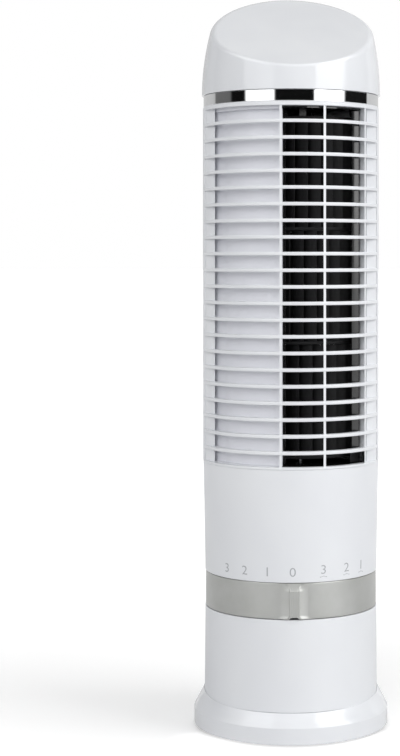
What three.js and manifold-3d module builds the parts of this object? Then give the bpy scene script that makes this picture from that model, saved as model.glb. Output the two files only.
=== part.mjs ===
// Table-top tower fan: a cross-flow fan in a round column that oscillates on its foot.
// Millimetres, +Z up. The origin is on the floor under the column's axis.
// The front faces -Y, with +X to the right.
// Azimuths are in degrees about Z, 0 at the front and positive towards +X.

import * as THREE from 'three';
import { mergeVertices } from 'three/addons/utils/BufferGeometryUtils.js';
import Module from 'manifold-3d';

// ---------------------------------------------------------------- driving dimensions

// Gaps between pieces
const SEAT_GAP = 0.3;
const RUNNING_GAP = 0.4;
const TURN_GAP = 0.6;
const SHAFT_GAP = 0.25;

// How far joined solids sink into each other, and how far a cutting tool runs past a surface
const OVERLAP = 0.5;
const OVERSHOOT = 1;

// Facets
const HULL_SIDES = 32;
const BORE_SIDES = 12;
const SCREW_SIDES = 6;
const GRILLE_STEPS = 11;
const CAN_SIDES = 24;
const GEAR_BLANK_STEPS = 16;
const WINDOW_STEPS = 24;
const RETAINER_STEPS = 12;
const PANEL_STEPS = 8;
const SCROLL_STEPS = 9;
const TONGUE_STEPS = 4;
const LEAD_SIDES = 6;
const LEAD_STEPS = 10;

// Outside of the column
const BODY_RADIUS = 46;
const GRILLE_TO_SHELL_TOP = 0.2;
const GRILLE_TO_SHELL_BOTTOM = 1.3;
const GRILLE_TO_COLUMN_BOTTOM = 1.1;
const GRILLE_TO_RING = 1.55;
const GRILLE_TO_BAND = 0.3;
const CAP_OVERHANG = 0.6;
const SHELL_WALL = 2;
const COLUMN_HEIGHT = 45.7;
const RING_HEIGHT = 18.5;
const BODY_HEIGHT = 55.8;
const BAND_HEIGHT = 5.7;
const COLLAR_HEIGHT = 5.3;
const COLLAR_LIP = 1.7;
const COLLAR_SLOPE = 4;
const SHELL_SEAT_WIDTH = 3;

// Foot
const FOOT_RADIUS = 50.5;
const FOOT_WALL = 2.2;
const FOOT_RIM_HEIGHT = 8.3;
const FOOT_HEIGHT = 14.7;
const FOOT_COLLAR_RISE = 6.4;
const FOOT_COLLAR_EDGE = 0.5;
const FOOT_COLLAR_FRONT = 0.1;
const FOOT_SHOULDER_HEIGHT = 1.1;
const FOOT_SHOULDER_INSET = 0.6;
const FOOT_FLARE_HOLLOW = 0.35;
const FOOT_WELL_INSET = 8.2;
const FOOT_WELL_DEPTH = 7.2;
const FOOT_FLOOR = 2;
const BASE_PLATE_THICKNESS = 2.5;
const RUBBER_FOOT_RADIUS = 5.5;
const RUBBER_FOOT_PROUD = 1.5;
const RUBBER_FOOT_SUNK = 1;
const RUBBER_FOOT_CIRCLE = 38;
const RUBBER_FOOT_COUNT = 4;
const BASE_SCREW_CIRCLE = 30;
const BASE_SCREW_COUNT = 3;
const GLAND_RADIUS = 3.4;
const GLAND_BORE_RADIUS = 2.2;
const GLAND_FLANGE = 0.9;
const GLAND_STEP = 0.8;
const GLAND_BARREL = 4;
const GLAND_FLOOR = 1;

// Screws
const SCREW_RADIUS = 1.2;
const SCREW_HEAD_RADIUS = 2.7;
const SCREW_HEAD_HEIGHT = 1.4;
const BOSS_RADIUS = 3.6;

// Pivot between foot and column, and the oscillation drive
const POST_RADIUS = 6.2;
const POST_BORE_RADIUS = 4.2;
const POST_FLANGE_RADIUS = 8.2;
const POST_FLANGE = 1.3;
const POST_GROOVE_DEPTH = 0.8;
const POST_HEAD = 2;
const HUB_WALL = 3;
const HUB_HEIGHT = 3.2;
const RETAINER_RADIUS = 10.5;
const RETAINER_THICKNESS = 0.9;
const RETAINER_OPENING = 40;
const THRUST_WASHER_WIDTH = 4.6;
const THRUST_WASHER_THICKNESS = 1.3;
const TURNTABLE_THICKNESS = 2.5;
const TURNTABLE_SCREW_COUNT = 3;
const TURNTABLE_BOSS_HEIGHT = 10;
const TURNTABLE_WEB = 2;
const SCREW_TIP_ROOM = 2;
const OSCILLATION_SHAFT_RADIUS = 2.4;
const CRANK_THROW = 10;
const CRANK_BOSS_RADIUS = 4.6;
const CRANK_EYE_RADIUS = 3;
const CRANK_THICKNESS = 2.5;
const CRANK_PIN_RADIUS = 1.5;
const CRANK_PIN_LENGTH = 1.5;
const CRANK_DROP = 1.7;
const RAIL_HEIGHT = 1.6;
const RAIL_THICKNESS = 1.2;
const GEAR_MOTOR_HEIGHT = 18;
const GEAR_MOTOR_OFFSET = 6;
const GEAR_MOTOR_TO_SHELL = 2.7;
const GEAR_MOTOR_TO_RETAINER = 1.5;
const GEAR_MOTOR_EAR_OFFSET = 3.5;
const GEAR_MOTOR_EAR_THICKNESS = 1.2;
const GEAR_MOTOR_EAR_RADIUS = 3.5;

// Control ring, its gear and the rotary switch
const DIAL_CENTRE = 2.2;
const DIAL_TRAVEL = 51;
const RING_WALL = 1.55;
const CARRIER_WALL = 1.6;
const CARRIER_INSET = 0.7;
const POINTER_WIDTH = 4.7;
const POINTER_FLARE = 0.8;
const POINTER_FLARE_HEIGHT = 2.4;
const POINTER_MARGIN = 0.4;
const POINTER_PROUD = 1.9;
const GEAR_TO_CARRIER = 5;
const RING_GEAR_TEETH = 45;
const PINION_TEETH = 17;
const GEAR_ADDENDUM = 0.8;
const GEAR_DEDENDUM = 1.05;
const GEAR_TOOTH_ROOM = 0.4;
const GEAR_BACKLASH = 0.12;
const GEAR_PRESSURE_ANGLE = 20;
const GEAR_THICKNESS = 3.5;
const GEAR_SECTOR_MARGIN = 9;
const SLEEVE_WINDOW_MARGIN = 3;
const SLEEVE_WALL = 2;
const SWITCH_PLATE_THICKNESS = 2;
const SWITCH_SIZE = 24;
const SWITCH_HEIGHT = 13;
const SWITCH_SHAFT_RADIUS = 2.5;
const SWITCH_BUSH_RADIUS = 4.5;
const SWITCH_FLOOR = 3;
const LEAD_RADIUS = 1.3;
const LEAD_HOLE_RADIUS = 3.3;
const LEAD_HOLE_X = -26;
const LEAD_HOLE_Y = -5;

// Grille and rear housing
const LOUVRE_COUNT = 21;
const LOUVRE_PITCH = 8.305;
const LOUVRE_THICKNESS = 1.84;
const LOUVRE_DEPTH = 3.6;
const LOUVRE_START = 8.2;
const LOUVRE_END = 9.4;
const GRILLE_BOTTOM_FLANGE = 1;
const GRILLE_TOP_FLANGE = 1.9;
const GRILLE_HALF_ANGLE = 76.5;
const GRILLE_RIB_AZIMUTHS = [-6.1, 21.9, 55.9];
const GRILLE_RIB_WIDTH = 1.45;
const GRILLE_RIB_RECESS = 0.4;
const GRILLE_RIB_STEP = 0.6;
const GRILLE_POST_INNER = 57.6;
const GRILLE_POST_RECESS = 1.5;
const GRILLE_POST_STEP = 0.2;
const HOUSING_GAP_ANGLE = 0.6;
const REAR_FACETS = 21;
const REAR_SLOT_COUNT = 15;
const REAR_SLOT_WIDTH = 4.6;
const REAR_SLOT_ROWS = 3;
const REAR_SLOT_BAR = 5;
const REAR_SLOT_MARGIN = 15;
const REAR_SCREW_SPREAD = 14;
const REAR_SCREW_LEVEL = 5.4;
const REAR_SCREW_RECESS = 0.8;
const REAR_SCREW_GRIP = 4;
const REAR_BOSS_RADIUS = 4.6;
const REAR_BOSS_LENGTH = 3;
const REAR_BLOCK_WIDTH = 7;
const REAR_BLOCK_DEPTH = 4.5;
const REAR_BLOCK_REACH = 3.4;

// Air duct and cross-flow wheel
const WHEEL_OFFSET_X = 4.5;
const WHEEL_OFFSET_Y = 1;
const WHEEL_TO_DUCT = 10.8;
const WHEEL_DISC = 1.6;
const WHEEL_SEGMENTS = 3;
const WHEEL_FLOOR_CLEARANCE = 2.8;
const WHEEL_CEILING_CLEARANCE = 3.2;
const BLADE_COUNT = 28;
const BLADE_THICKNESS = 1;
const BLADE_DEPTH = 6;
const BLADE_SWEEP = 12;
const WHEEL_SHAFT_RADIUS = 1.9;
const WHEEL_HUB_RADIUS = 6;
const WHEEL_HUB_HEIGHT = 5;
const BLADE_INSET = 0.4;
const SHAFT_PASSAGE = 4;
const SHAFT_HEADROOM = 0.5;
const DUCT_PLATE = 2.2;
const DUCT_WALL = 1.6;
const DUCT_PANEL_INSET = 2.6;
const DUCT_PANEL_OUTER = -74;
const TONGUE_CLEARANCE = 2.6;
const TONGUE_FROM = -44;
const TONGUE_TO = -12;
const TONGUE_LIP_ANGLE = 3;
const TONGUE_LIP_WIDTH = 2;
const SCROLL_START = 52;
const SCROLL_END = 128;
const SCROLL_CLEARANCE_START = 6.2;
const SCROLL_CLEARANCE_END = 3;

// Shaded-pole motor
const STATOR_HEIGHT = 18;
const STATOR_YOKE = 10.1;
const STATOR_POLE = 2.6;
const STATOR_DEPTH = 44;
const STATOR_WINDOW_WIDTH = 10.5;
const STATOR_WINDOW_DEPTH = 26;
const ROTOR_RADIUS = 12.9;
const ROTOR_AIR_GAP = 0.5;
const COIL_WALL = 6;
const COIL_END_GAP = 1;
const COIL_TO_SHELL = 2.25;
const BRACKET_THICKNESS = 2;
const BRACKET_WIDTH = 12;
const BRACKET_HUB_RADIUS = 6.5;
const BRACKET_HUB_HEIGHT = 6;
const BRACKET_SCREW_REACH = 19;
const BRACKET_END = 3.5;
const BEARING_RADIUS = 4.5;
const BEARING_HEIGHT = 4.5;
const BEARING_FLOOR = 1;
const BEARING_ROOF = 0.4;
const BEARING_HUB_WALL = 2.4;
const MOTOR_BOSS_HEIGHT = 12.4;

// Cap
const CAP_FRONT_HEIGHT = 12;
const CAP_TILT = 28.6;
const CAP_TURN = 3;
const CAP_BULGE_RADIUS = 180;
const CAP_EDGE = 5;
const CAP_WALL = 2.2;

// ---------------------------------------------------------------- levels and radii that follow

const footBottom = RUBBER_FOOT_PROUD;
const deckTop = footBottom + FOOT_HEIGHT;
const wellFloor = deckTop - FOOT_WELL_DEPTH;
const columnBottom = deckTop + TURN_GAP;
const columnTop = columnBottom + COLUMN_HEIGHT;
const ringBottom = columnTop + SEAT_GAP;
const ringTop = ringBottom + RING_HEIGHT;
const bodyBottom = ringTop + SEAT_GAP;
const bodyTop = bodyBottom + BODY_HEIGHT;
const grilleBottom = bodyTop + SEAT_GAP;
const firstLouvre = grilleBottom + LOUVRE_START;
const grilleTop = firstLouvre + LOUVRE_PITCH * (LOUVRE_COUNT - 1) + LOUVRE_END;
const bandBottom = grilleTop + SEAT_GAP;
const bandTop = bandBottom + BAND_HEIGHT;
const capBottom = bandTop + SEAT_GAP;

const ringRadius = BODY_RADIUS - GRILLE_TO_RING;
const ringInner = ringRadius - RING_WALL;
const carrierOuter = ringInner - SEAT_GAP;
const carrierInner = carrierOuter - CARRIER_WALL;
const gearModule = (2 * (carrierInner - GEAR_TO_CARRIER)) / RING_GEAR_TEETH;
const sleeveOuter = carrierInner - RUNNING_GAP;
const sleeveInner = sleeveOuter - SLEEVE_WALL;
const collarInner = sleeveOuter + SEAT_GAP;
const lipInner = sleeveInner + SEAT_GAP;
const sleeveBottom = columnTop - COLLAR_HEIGHT + SEAT_GAP;
const sleeveTop = bodyBottom + COLLAR_HEIGHT - SEAT_GAP;
const columnInner = BODY_RADIUS - GRILLE_TO_SHELL_BOTTOM - SHELL_WALL;
const footWellRadius = columnInner - FOOT_WELL_INSET;
const housingOuter = BODY_RADIUS;
const housingInner = housingOuter - SHELL_WALL;
const grilleInner = BODY_RADIUS - LOUVRE_DEPTH;
const grilleFlat = Math.cos(THREE.MathUtils.degToRad(GRILLE_HALF_ANGLE / GRILLE_STEPS));
const ductRadius = grilleInner * grilleFlat - SEAT_GAP;
const wheelRadius = ductRadius - WHEEL_TO_DUCT;
const ductFloorTop = grilleBottom + SEAT_GAP * 2;
const ductFloorBottom = ductFloorTop - DUCT_PLATE;
const ductCeilingTop = grilleTop - SEAT_GAP * 2;
const ductCeilingBottom = ductCeilingTop - DUCT_PLATE;
const turntableBottom = columnBottom;
const turntableTop = turntableBottom + TURNTABLE_THICKNESS;
const wheelBottom = ductFloorTop + WHEEL_FLOOR_CLEARANCE;
const wheelTop = ductCeilingBottom - WHEEL_CEILING_CLEARANCE;
const segmentPitch = (wheelTop - wheelBottom) / WHEEL_SEGMENTS;
const statorTop = ductFloorBottom - MOTOR_BOSS_HEIGHT - SEAT_GAP * 2 - BRACKET_THICKNESS;
const statorBottom = statorTop - STATOR_HEIGHT;
const screwHole = SCREW_RADIUS + SEAT_GAP;
const gearAxisOffset = (gearModule * (RING_GEAR_TEETH - PINION_TEETH)) / 2;
const gearMiddle = ringBottom + RING_HEIGHT / 2 - SEAT_GAP;
const gearBottom = gearMiddle - GEAR_THICKNESS / 2;
const gearTop = gearMiddle + GEAR_THICKNESS / 2;
const switchTop = ringBottom;
const switchBottom = switchTop - SWITCH_HEIGHT;

// ---------------------------------------------------------------- materials

function finish(color, roughness, metalness = 0) {
  return new THREE.MeshStandardMaterial({ color, roughness, metalness });
}

const glossWhite = finish('#e4e6ea', 0.15);
const satinWhite = finish('#e2e4e8', 0.42);
const silver = finish('#a9abab', 0.38, 0.6);
const chrome = finish('#d9dbde', 0.06, 1);
const gripBlack = finish('#17181a', 0.3);
const structureGrey = finish('#6d7177', 0.6);
const naturalWhite = finish('#d8d6cc', 0.5);
const steel = finish('#9ea2a6', 0.35, 1);
const lamination = finish('#6f7276', 0.5, 0.9);
const copper = finish('#9a5a2c', 0.4, 0.8);
const bronze = finish('#a67c45', 0.45, 0.9);
const rubber = finish('#222325', 0.85);
const leadGrey = finish('#8a8c90', 0.6);

// ---------------------------------------------------------------- solids

const manifold = await Module();
manifold.setup();

// A closed manifold solid from any closed three.js geometry.
function solid(geometry) {
  const bare = geometry.index ? geometry.toNonIndexed() : geometry.clone();
  bare.deleteAttribute('normal');
  bare.deleteAttribute('uv');
  const welded = mergeVertices(bare, 1e-5);
  const corners = [];
  for (let i = 0; i < welded.index.count; i += 3) {
    const [a, b, c] = [0, 1, 2].map((k) => welded.index.getX(i + k));
    if (a !== b && b !== c && c !== a) {
      corners.push(a, b, c);
    }
  }
  const mesh = new manifold.Mesh({
    numProp: 3,
    vertProperties: Float32Array.from(welded.attributes.position.array),
    triVerts: Uint32Array.from(corners),
  });
  const made = new manifold.Manifold(mesh);
  if (made.volume() > 0) {
    return made;
  }
  for (let i = 0; i < corners.length; i += 3) {
    [corners[i + 1], corners[i + 2]] = [corners[i + 2], corners[i + 1]];
  }
  mesh.triVerts = Uint32Array.from(corners);
  return new manifold.Manifold(mesh);
}

function geometryOf(made) {
  const { vertProperties, triVerts } = made.getMesh();
  const geometry = new THREE.BufferGeometry();
  geometry.setAttribute('position', new THREE.BufferAttribute(Float32Array.from(vertProperties), 3));
  geometry.setIndex(new THREE.BufferAttribute(Uint32Array.from(triVerts), 1));
  geometry.computeVertexNormals();
  return geometry;
}

function join(...geometries) {
  const parts = geometries.map(solid);
  return geometryOf(parts.slice(1).reduce((sum, part) => sum.add(part), parts[0]));
}

function cut(geometry, ...tools) {
  const start = solid(geometry);
  return geometryOf(tools.map(solid).reduce((left, tool) => left.subtract(tool), start));
}

const radians = THREE.MathUtils.degToRad;

function polar(radius, azimuth) {
  return new THREE.Vector2(radius * Math.sin(radians(azimuth)), -radius * Math.cos(radians(azimuth)));
}

// A body of revolution about Z from its closed (radius, height) outline.
function turned(outline, sides) {
  const points = outline.map(([radius, height]) => new THREE.Vector2(radius, height));
  points.push(points[0].clone());
  return new THREE.LatheGeometry(points, sides).rotateX(Math.PI / 2);
}

// A body round Z whose closed (radius, height) outline may change with the azimuth.
function lofted(outlineAt, sides = HULL_SIDES) {
  const outlines = Array.from({ length: sides }, (_, i) => outlineAt((360 * i) / sides));
  const rows = outlines[0].length;
  const positions = outlines.flatMap((outline, i) =>
    outline.flatMap(([radius, height]) => [...polar(radius, (360 * i) / sides).toArray(), height]),
  );
  const faces = [];
  for (let i = 0; i < sides; i += 1) {
    const here = i * rows;
    const next = ((i + 1) % sides) * rows;
    for (let k = 0; k < rows; k += 1) {
      const above = (k + 1) % rows;
      faces.push(here + k, next + k, next + above, here + k, next + above, here + above);
    }
  }
  const geometry = new THREE.BufferGeometry();
  geometry.setAttribute('position', new THREE.Float32BufferAttribute(positions, 3));
  geometry.setIndex(faces);
  return geometry;
}

function tube(inner, outer, bottom, top, sides = HULL_SIDES) {
  return turned([[inner, bottom], [outer, bottom], [outer, top], [inner, top]], sides);
}

function rod(radius, bottom, top, sides = BORE_SIDES, x = 0, y = 0) {
  const geometry = new THREE.CylinderGeometry(radius, radius, top - bottom, sides);
  return geometry.rotateX(Math.PI / 2).translate(x, y, (bottom + top) / 2);
}

function block(x0, x1, y0, y1, z0, z1) {
  const geometry = new THREE.BoxGeometry(x1 - x0, y1 - y0, z1 - z0);
  return geometry.translate((x0 + x1) / 2, (y0 + y1) / 2, (z0 + z1) / 2);
}

function prism(points, bottom, top) {
  const shape = new THREE.Shape(points);
  const settings = { depth: top - bottom, bevelEnabled: false };
  return new THREE.ExtrudeGeometry(shape, settings).translate(0, 0, bottom);
}

// A flat ring sector between two azimuths.
function sector(inner, outer, from, to, bottom, top, steps) {
  const azimuths = Array.from({ length: steps + 1 }, (_, i) => from + ((to - from) * i) / steps);
  const outside = azimuths.map((azimuth) => polar(outer, azimuth));
  const inside = azimuths.map((azimuth) => polar(inner, azimuth)).reverse();
  return prism([...outside, ...inside], bottom, top);
}

// A screw pointing up, with the underside of its head at height 0.
function screwGeometry(length) {
  return turned(
    [
      [0, -SCREW_HEAD_HEIGHT],
      [SCREW_HEAD_RADIUS, -SCREW_HEAD_HEIGHT],
      [SCREW_HEAD_RADIUS, 0],
      [SCREW_RADIUS, 0],
      [SCREW_RADIUS, length],
      [0, length],
    ],
    SCREW_SIDES,
  );
}

function place(group, name, geometry, material) {
  const mesh = new THREE.Mesh(geometry, material);
  mesh.name = name;
  group.add(mesh);
  return mesh;
}

function placeScrew(group, name, length, position, rotationX = 0) {
  const screw = place(group, name, screwGeometry(length), steel);
  screw.position.set(...position);
  screw.rotation.x = rotationX;
  return screw;
}

// ---------------------------------------------------------------- foot

// Evenly spaced points on a circle about Z.
function ringOf(count, radius, start = 0) {
  return Array.from({ length: count }, (_, i) => polar(radius, start + (360 * i) / count));
}

const rubberFootSpots = ringOf(RUBBER_FOOT_COUNT, RUBBER_FOOT_CIRCLE, 45);
const baseScrewSpots = ringOf(BASE_SCREW_COUNT, BASE_SCREW_CIRCLE);
const basePlateTop = footBottom + BASE_PLATE_THICKNESS;
const baseBossBottom = basePlateTop + SEAT_GAP;
const baseScrewSeat = footBottom + SCREW_HEAD_HEIGHT + SEAT_GAP;
const baseScrewLength = wellFloor - FOOT_FLOOR / 2 - baseScrewSeat;
const glandHeight = footBottom + GLAND_RADIUS + GLAND_FLOOR;
const glandSeat = FOOT_RADIUS - GLAND_FLANGE - SEAT_GAP;
const glandHoleRadius = GLAND_RADIUS - GLAND_STEP + SEAT_GAP;
const washerTop = turntableBottom - SEAT_GAP;
const washerBottom = washerTop - THRUST_WASHER_THICKNESS;
const washerInner = footWellRadius + SEAT_GAP * 2;
const washerOuter = washerInner + THRUST_WASHER_WIDTH;
const rimTopRadius = BODY_RADIUS - GRILLE_TO_COLUMN_BOTTOM;
const footCollarInner = rimTopRadius + RUNNING_GAP;

// Outside of the foot: upright rim, small shoulder, then a flare up to a collar.
// The collar rises towards the back.
function footOutline(azimuth) {
  const turn = (1 - Math.cos(radians(azimuth))) / 2;
  const collarTop = deckTop + FOOT_COLLAR_RISE * turn * turn * (3 - 2 * turn);
  const shoulder = footBottom + FOOT_RIM_HEIGHT;
  const flareBottom = shoulder + FOOT_SHOULDER_HEIGHT;
  const flareFoot = FOOT_RADIUS - FOOT_SHOULDER_INSET;
  const collar = footCollarInner + FOOT_COLLAR_EDGE;
  const flare = [0, 1 / 3, 2 / 3, 1].map((t) => {
    const hollow = FOOT_FLARE_HOLLOW * Math.sin(Math.PI * t);
    return [flareFoot + (collar - flareFoot) * t - hollow, flareBottom + (collarTop - flareBottom) * t];
  });
  return [[FOOT_RADIUS, footBottom], [FOOT_RADIUS, shoulder], ...flare];
}

function baseFoot() {
  const ledge = washerBottom - SEAT_GAP;
  const shell = lofted((azimuth) => {
    const outside = footOutline(azimuth);
    const collarTop = outside[outside.length - 1][1];
    return [
      [FOOT_RADIUS - FOOT_WALL, footBottom],
      ...outside,
      [footCollarInner, collarTop],
      [footCollarInner, deckTop - FOOT_COLLAR_FRONT],
      [washerOuter + RUNNING_GAP, deckTop - FOOT_COLLAR_FRONT],
      [washerOuter + RUNNING_GAP, ledge],
      [footWellRadius, ledge],
      [footWellRadius, wellFloor],
      [0, wellFloor],
      [0, wellFloor - FOOT_FLOOR],
      [footWellRadius + FOOT_FLOOR, wellFloor - FOOT_FLOOR],
      [footWellRadius + FOOT_FLOOR, ledge - FOOT_FLOOR],
      [rimTopRadius - FOOT_WALL, ledge - FOOT_FLOOR],
      [FOOT_RADIUS - FOOT_WALL, footBottom + FOOT_RIM_HEIGHT - FOOT_SHOULDER_HEIGHT],
    ];
  });
  const railGap = CRANK_PIN_RADIUS + RUNNING_GAP;
  const railStart = POST_FLANGE_RADIUS + SEAT_GAP * 3;
  const railEnd = footWellRadius - SEAT_GAP * 2;
  const railBottom = wellFloor - OVERLAP;
  const railTop = wellFloor + RAIL_HEIGHT;
  const rails = [-1, 1].map((side) => {
    const middle = side * (railGap + RAIL_THICKNESS / 2);
    const half = RAIL_THICKNESS / 2;
    return block(middle - half, middle + half, railStart, railEnd, railBottom, railTop);
  });
  const bosses = baseScrewSpots.map(({ x, y }) =>
    rod(BOSS_RADIUS, baseBossBottom, wellFloor - FOOT_FLOOR + OVERLAP, SCREW_SIDES, x, y),
  );
  const pilots = baseScrewSpots.map(({ x, y }) =>
    rod(screwHole, footBottom, baseScrewSeat + baseScrewLength + SEAT_GAP, SCREW_SIDES, x, y),
  );
  const glandPocket = rod(GLAND_RADIUS + SEAT_GAP, glandSeat - SEAT_GAP, FOOT_RADIUS + OVERSHOOT);
  const glandHole = rod(glandHoleRadius, glandSeat - GLAND_BARREL - OVERSHOOT, FOOT_RADIUS);
  const postHole = rod(POST_RADIUS + SEAT_GAP, 0, wellFloor + OVERSHOOT);
  for (const tool of [glandPocket, glandHole]) {
    tool.rotateX(-Math.PI / 2).translate(0, 0, glandHeight);
  }
  return cut(join(shell, ...rails, ...bosses), postHole, ...pilots, glandPocket, glandHole);
}

function basePlate() {
  const disc = rod(FOOT_RADIUS - FOOT_WALL - RUNNING_GAP, footBottom, basePlateTop, HULL_SIDES);
  const pocketTop = footBottom + RUBBER_FOOT_SUNK + SEAT_GAP;
  const pockets = rubberFootSpots.map(({ x, y }) =>
    rod(RUBBER_FOOT_RADIUS + SEAT_GAP, 0, pocketTop, BORE_SIDES, x, y),
  );
  const holes = baseScrewSpots.flatMap(({ x, y }) => [
    rod(screwHole, 0, basePlateTop + OVERSHOOT, SCREW_SIDES, x, y),
    rod(SCREW_HEAD_RADIUS + SEAT_GAP, 0, baseScrewSeat + SEAT_GAP, SCREW_SIDES, x, y),
  ]);
  const notch = rod(glandHoleRadius, glandSeat - GLAND_BARREL - OVERSHOOT * 2, FOOT_RADIUS);
  notch.rotateX(-Math.PI / 2).translate(0, 0, glandHeight);
  return cut(disc, ...pockets, ...holes, notch);
}

function rubberFoot() {
  return rod(RUBBER_FOOT_RADIUS, 0, RUBBER_FOOT_PROUD + RUBBER_FOOT_SUNK);
}

// A flanged bush in the foot's rear wall, where the mains lead goes in.
function cordInlet() {
  const barrel = GLAND_RADIUS - GLAND_STEP;
  return turned(
    [
      [GLAND_BORE_RADIUS, glandSeat - GLAND_BARREL],
      [barrel, glandSeat - GLAND_BARREL],
      [barrel, glandSeat],
      [GLAND_RADIUS, glandSeat],
      [GLAND_RADIUS, glandSeat + GLAND_FLANGE],
      [GLAND_BORE_RADIUS, glandSeat + GLAND_FLANGE],
    ],
    BORE_SIDES,
  ).rotateX(-Math.PI / 2);
}

const hubTop = turntableTop + HUB_HEIGHT;
const retainerBottom = hubTop + SEAT_GAP;
const postTop = retainerBottom + RETAINER_THICKNESS + POST_HEAD;

function pivotPost() {
  const grooveBottom = retainerBottom - SEAT_GAP;
  const grooveTop = retainerBottom + RETAINER_THICKNESS + SEAT_GAP;
  return turned(
    [
      [POST_BORE_RADIUS, wellFloor - FOOT_FLOOR],
      [POST_RADIUS, wellFloor - FOOT_FLOOR],
      [POST_RADIUS, wellFloor + SEAT_GAP],
      [POST_FLANGE_RADIUS, wellFloor + SEAT_GAP],
      [POST_FLANGE_RADIUS, wellFloor + SEAT_GAP + POST_FLANGE],
      [POST_RADIUS, wellFloor + SEAT_GAP + POST_FLANGE],
      [POST_RADIUS, grooveBottom],
      [POST_RADIUS - POST_GROOVE_DEPTH, grooveBottom],
      [POST_RADIUS - POST_GROOVE_DEPTH, grooveTop],
      [POST_RADIUS, grooveTop],
      [POST_RADIUS, postTop],
      [POST_BORE_RADIUS, postTop],
    ],
    BORE_SIDES,
  );
}

function buildFoot() {
  const foot = new THREE.Group();
  place(foot, 'base_foot', baseFoot(), glossWhite);
  place(foot, 'base_plate', basePlate(), structureGrey);
  rubberFootSpots.forEach(({ x, y }, i) => {
    place(foot, `rubber_foot_${i + 1}`, rubberFoot(), rubber).position.set(x, y, 0);
  });
  baseScrewSpots.forEach(({ x, y }, i) => {
    placeScrew(foot, `base_screw_${i + 1}`, baseScrewLength, [x, y, baseScrewSeat]);
  });
  place(foot, 'cord_inlet', cordInlet(), rubber).position.z = glandHeight;
  place(foot, 'pivot_post', pivotPost(), naturalWhite);
  const washer = tube(washerInner, washerOuter, washerBottom, washerTop);
  place(foot, 'thrust_washer', washer, naturalWhite);
  const retainerInner = POST_RADIUS - POST_GROOVE_DEPTH + SEAT_GAP;
  const retainerTop = retainerBottom + RETAINER_THICKNESS;
  const [from, to] = [RETAINER_OPENING, 360 - RETAINER_OPENING];
  const levels = [retainerBottom, retainerTop];
  const retainer = sector(retainerInner, RETAINER_RADIUS, from, to, ...levels, RETAINER_STEPS);
  place(foot, 'retaining_ring', retainer, steel);
  return foot;
}

// ---------------------------------------------------------------- column, turntable and oscillation drive

const turntableBosses = ringOf(TURNTABLE_SCREW_COUNT, columnInner - BOSS_RADIUS - SEAT_GAP * 2);
const turntableScrewSeat = turntableBottom + SCREW_HEAD_HEIGHT + SEAT_GAP;
const bossBottom = turntableTop + SEAT_GAP;
const bossTop = bossBottom + TURNTABLE_BOSS_HEIGHT;
const gearMotorOuter = columnInner - GEAR_MOTOR_TO_SHELL;
const gearMotorRadius = (gearMotorOuter - RETAINER_RADIUS - GEAR_MOTOR_TO_RETAINER) / 2;
const gearMotorMiddle = gearMotorOuter - gearMotorRadius;
const oscillationShaftOffset = gearMotorMiddle - GEAR_MOTOR_OFFSET;
const earReach = gearMotorRadius + GEAR_MOTOR_EAR_OFFSET;
const earHoles = [-1, 1].map((side) => new THREE.Vector2(side * earReach, gearMotorMiddle));
const gearMotorBottom = turntableTop + SEAT_GAP;
const crankTop = turntableBottom - CRANK_DROP;
const crankBottom = crankTop - CRANK_THICKNESS;

function columnShell() {
  const topOuter = BODY_RADIUS - GRILLE_TO_SHELL_BOTTOM;
  const shell = turned(
    [
      [columnInner, columnBottom],
      [rimTopRadius, columnBottom],
      [topOuter, columnTop],
      [collarInner, columnTop],
      [collarInner, sleeveBottom - SEAT_GAP],
      [lipInner, sleeveBottom - SEAT_GAP],
      [lipInner, sleeveBottom - SEAT_GAP - COLLAR_LIP],
      [columnInner, sleeveBottom - SEAT_GAP - COLLAR_LIP - (columnInner - lipInner)],
    ],
    HULL_SIDES,
  );
  const bosses = turntableBosses.flatMap((spot) => {
    const half = TURNTABLE_WEB / 2;
    const web = block(-half, half, -columnInner - OVERLAP, -spot.length(), bossBottom, bossTop);
    web.rotateZ(Math.atan2(spot.x, -spot.y));
    return [web, rod(BOSS_RADIUS, bossBottom, bossTop, SCREW_SIDES, spot.x, spot.y)];
  });
  const pilots = turntableBosses.map(({ x, y }) =>
    rod(screwHole, columnBottom, bossTop - OVERSHOOT, SCREW_SIDES, x, y),
  );
  return cut(join(shell, ...bosses), ...pilots);
}

function turntable() {
  const hubInner = POST_RADIUS + RUNNING_GAP;
  const plate = turned(
    [
      [hubInner, turntableBottom],
      [columnInner - SEAT_GAP, turntableBottom],
      [columnInner - SEAT_GAP, turntableTop],
      [hubInner + HUB_WALL, turntableTop],
      [hubInner + HUB_WALL, hubTop],
      [hubInner, hubTop],
    ],
    HULL_SIDES,
  );
  const low = turntableBottom - OVERSHOOT;
  const high = turntableTop + OVERSHOOT;
  const headTop = turntableScrewSeat + SEAT_GAP;
  const screwHoles = turntableBosses.flatMap(({ x, y }) => [
    rod(screwHole, low, high, SCREW_SIDES, x, y),
    rod(SCREW_HEAD_RADIUS + SEAT_GAP, low, headTop, SCREW_SIDES, x, y),
  ]);
  const shaftRadius = OSCILLATION_SHAFT_RADIUS + RUNNING_GAP;
  const shaftHole = rod(shaftRadius, low, high, BORE_SIDES, 0, oscillationShaftOffset);
  const earPilots = earHoles.map(({ x, y }) => rod(screwHole, low, high, SCREW_SIDES, x, y));
  return cut(plate, ...screwHoles, shaftHole, ...earPilots);
}

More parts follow.
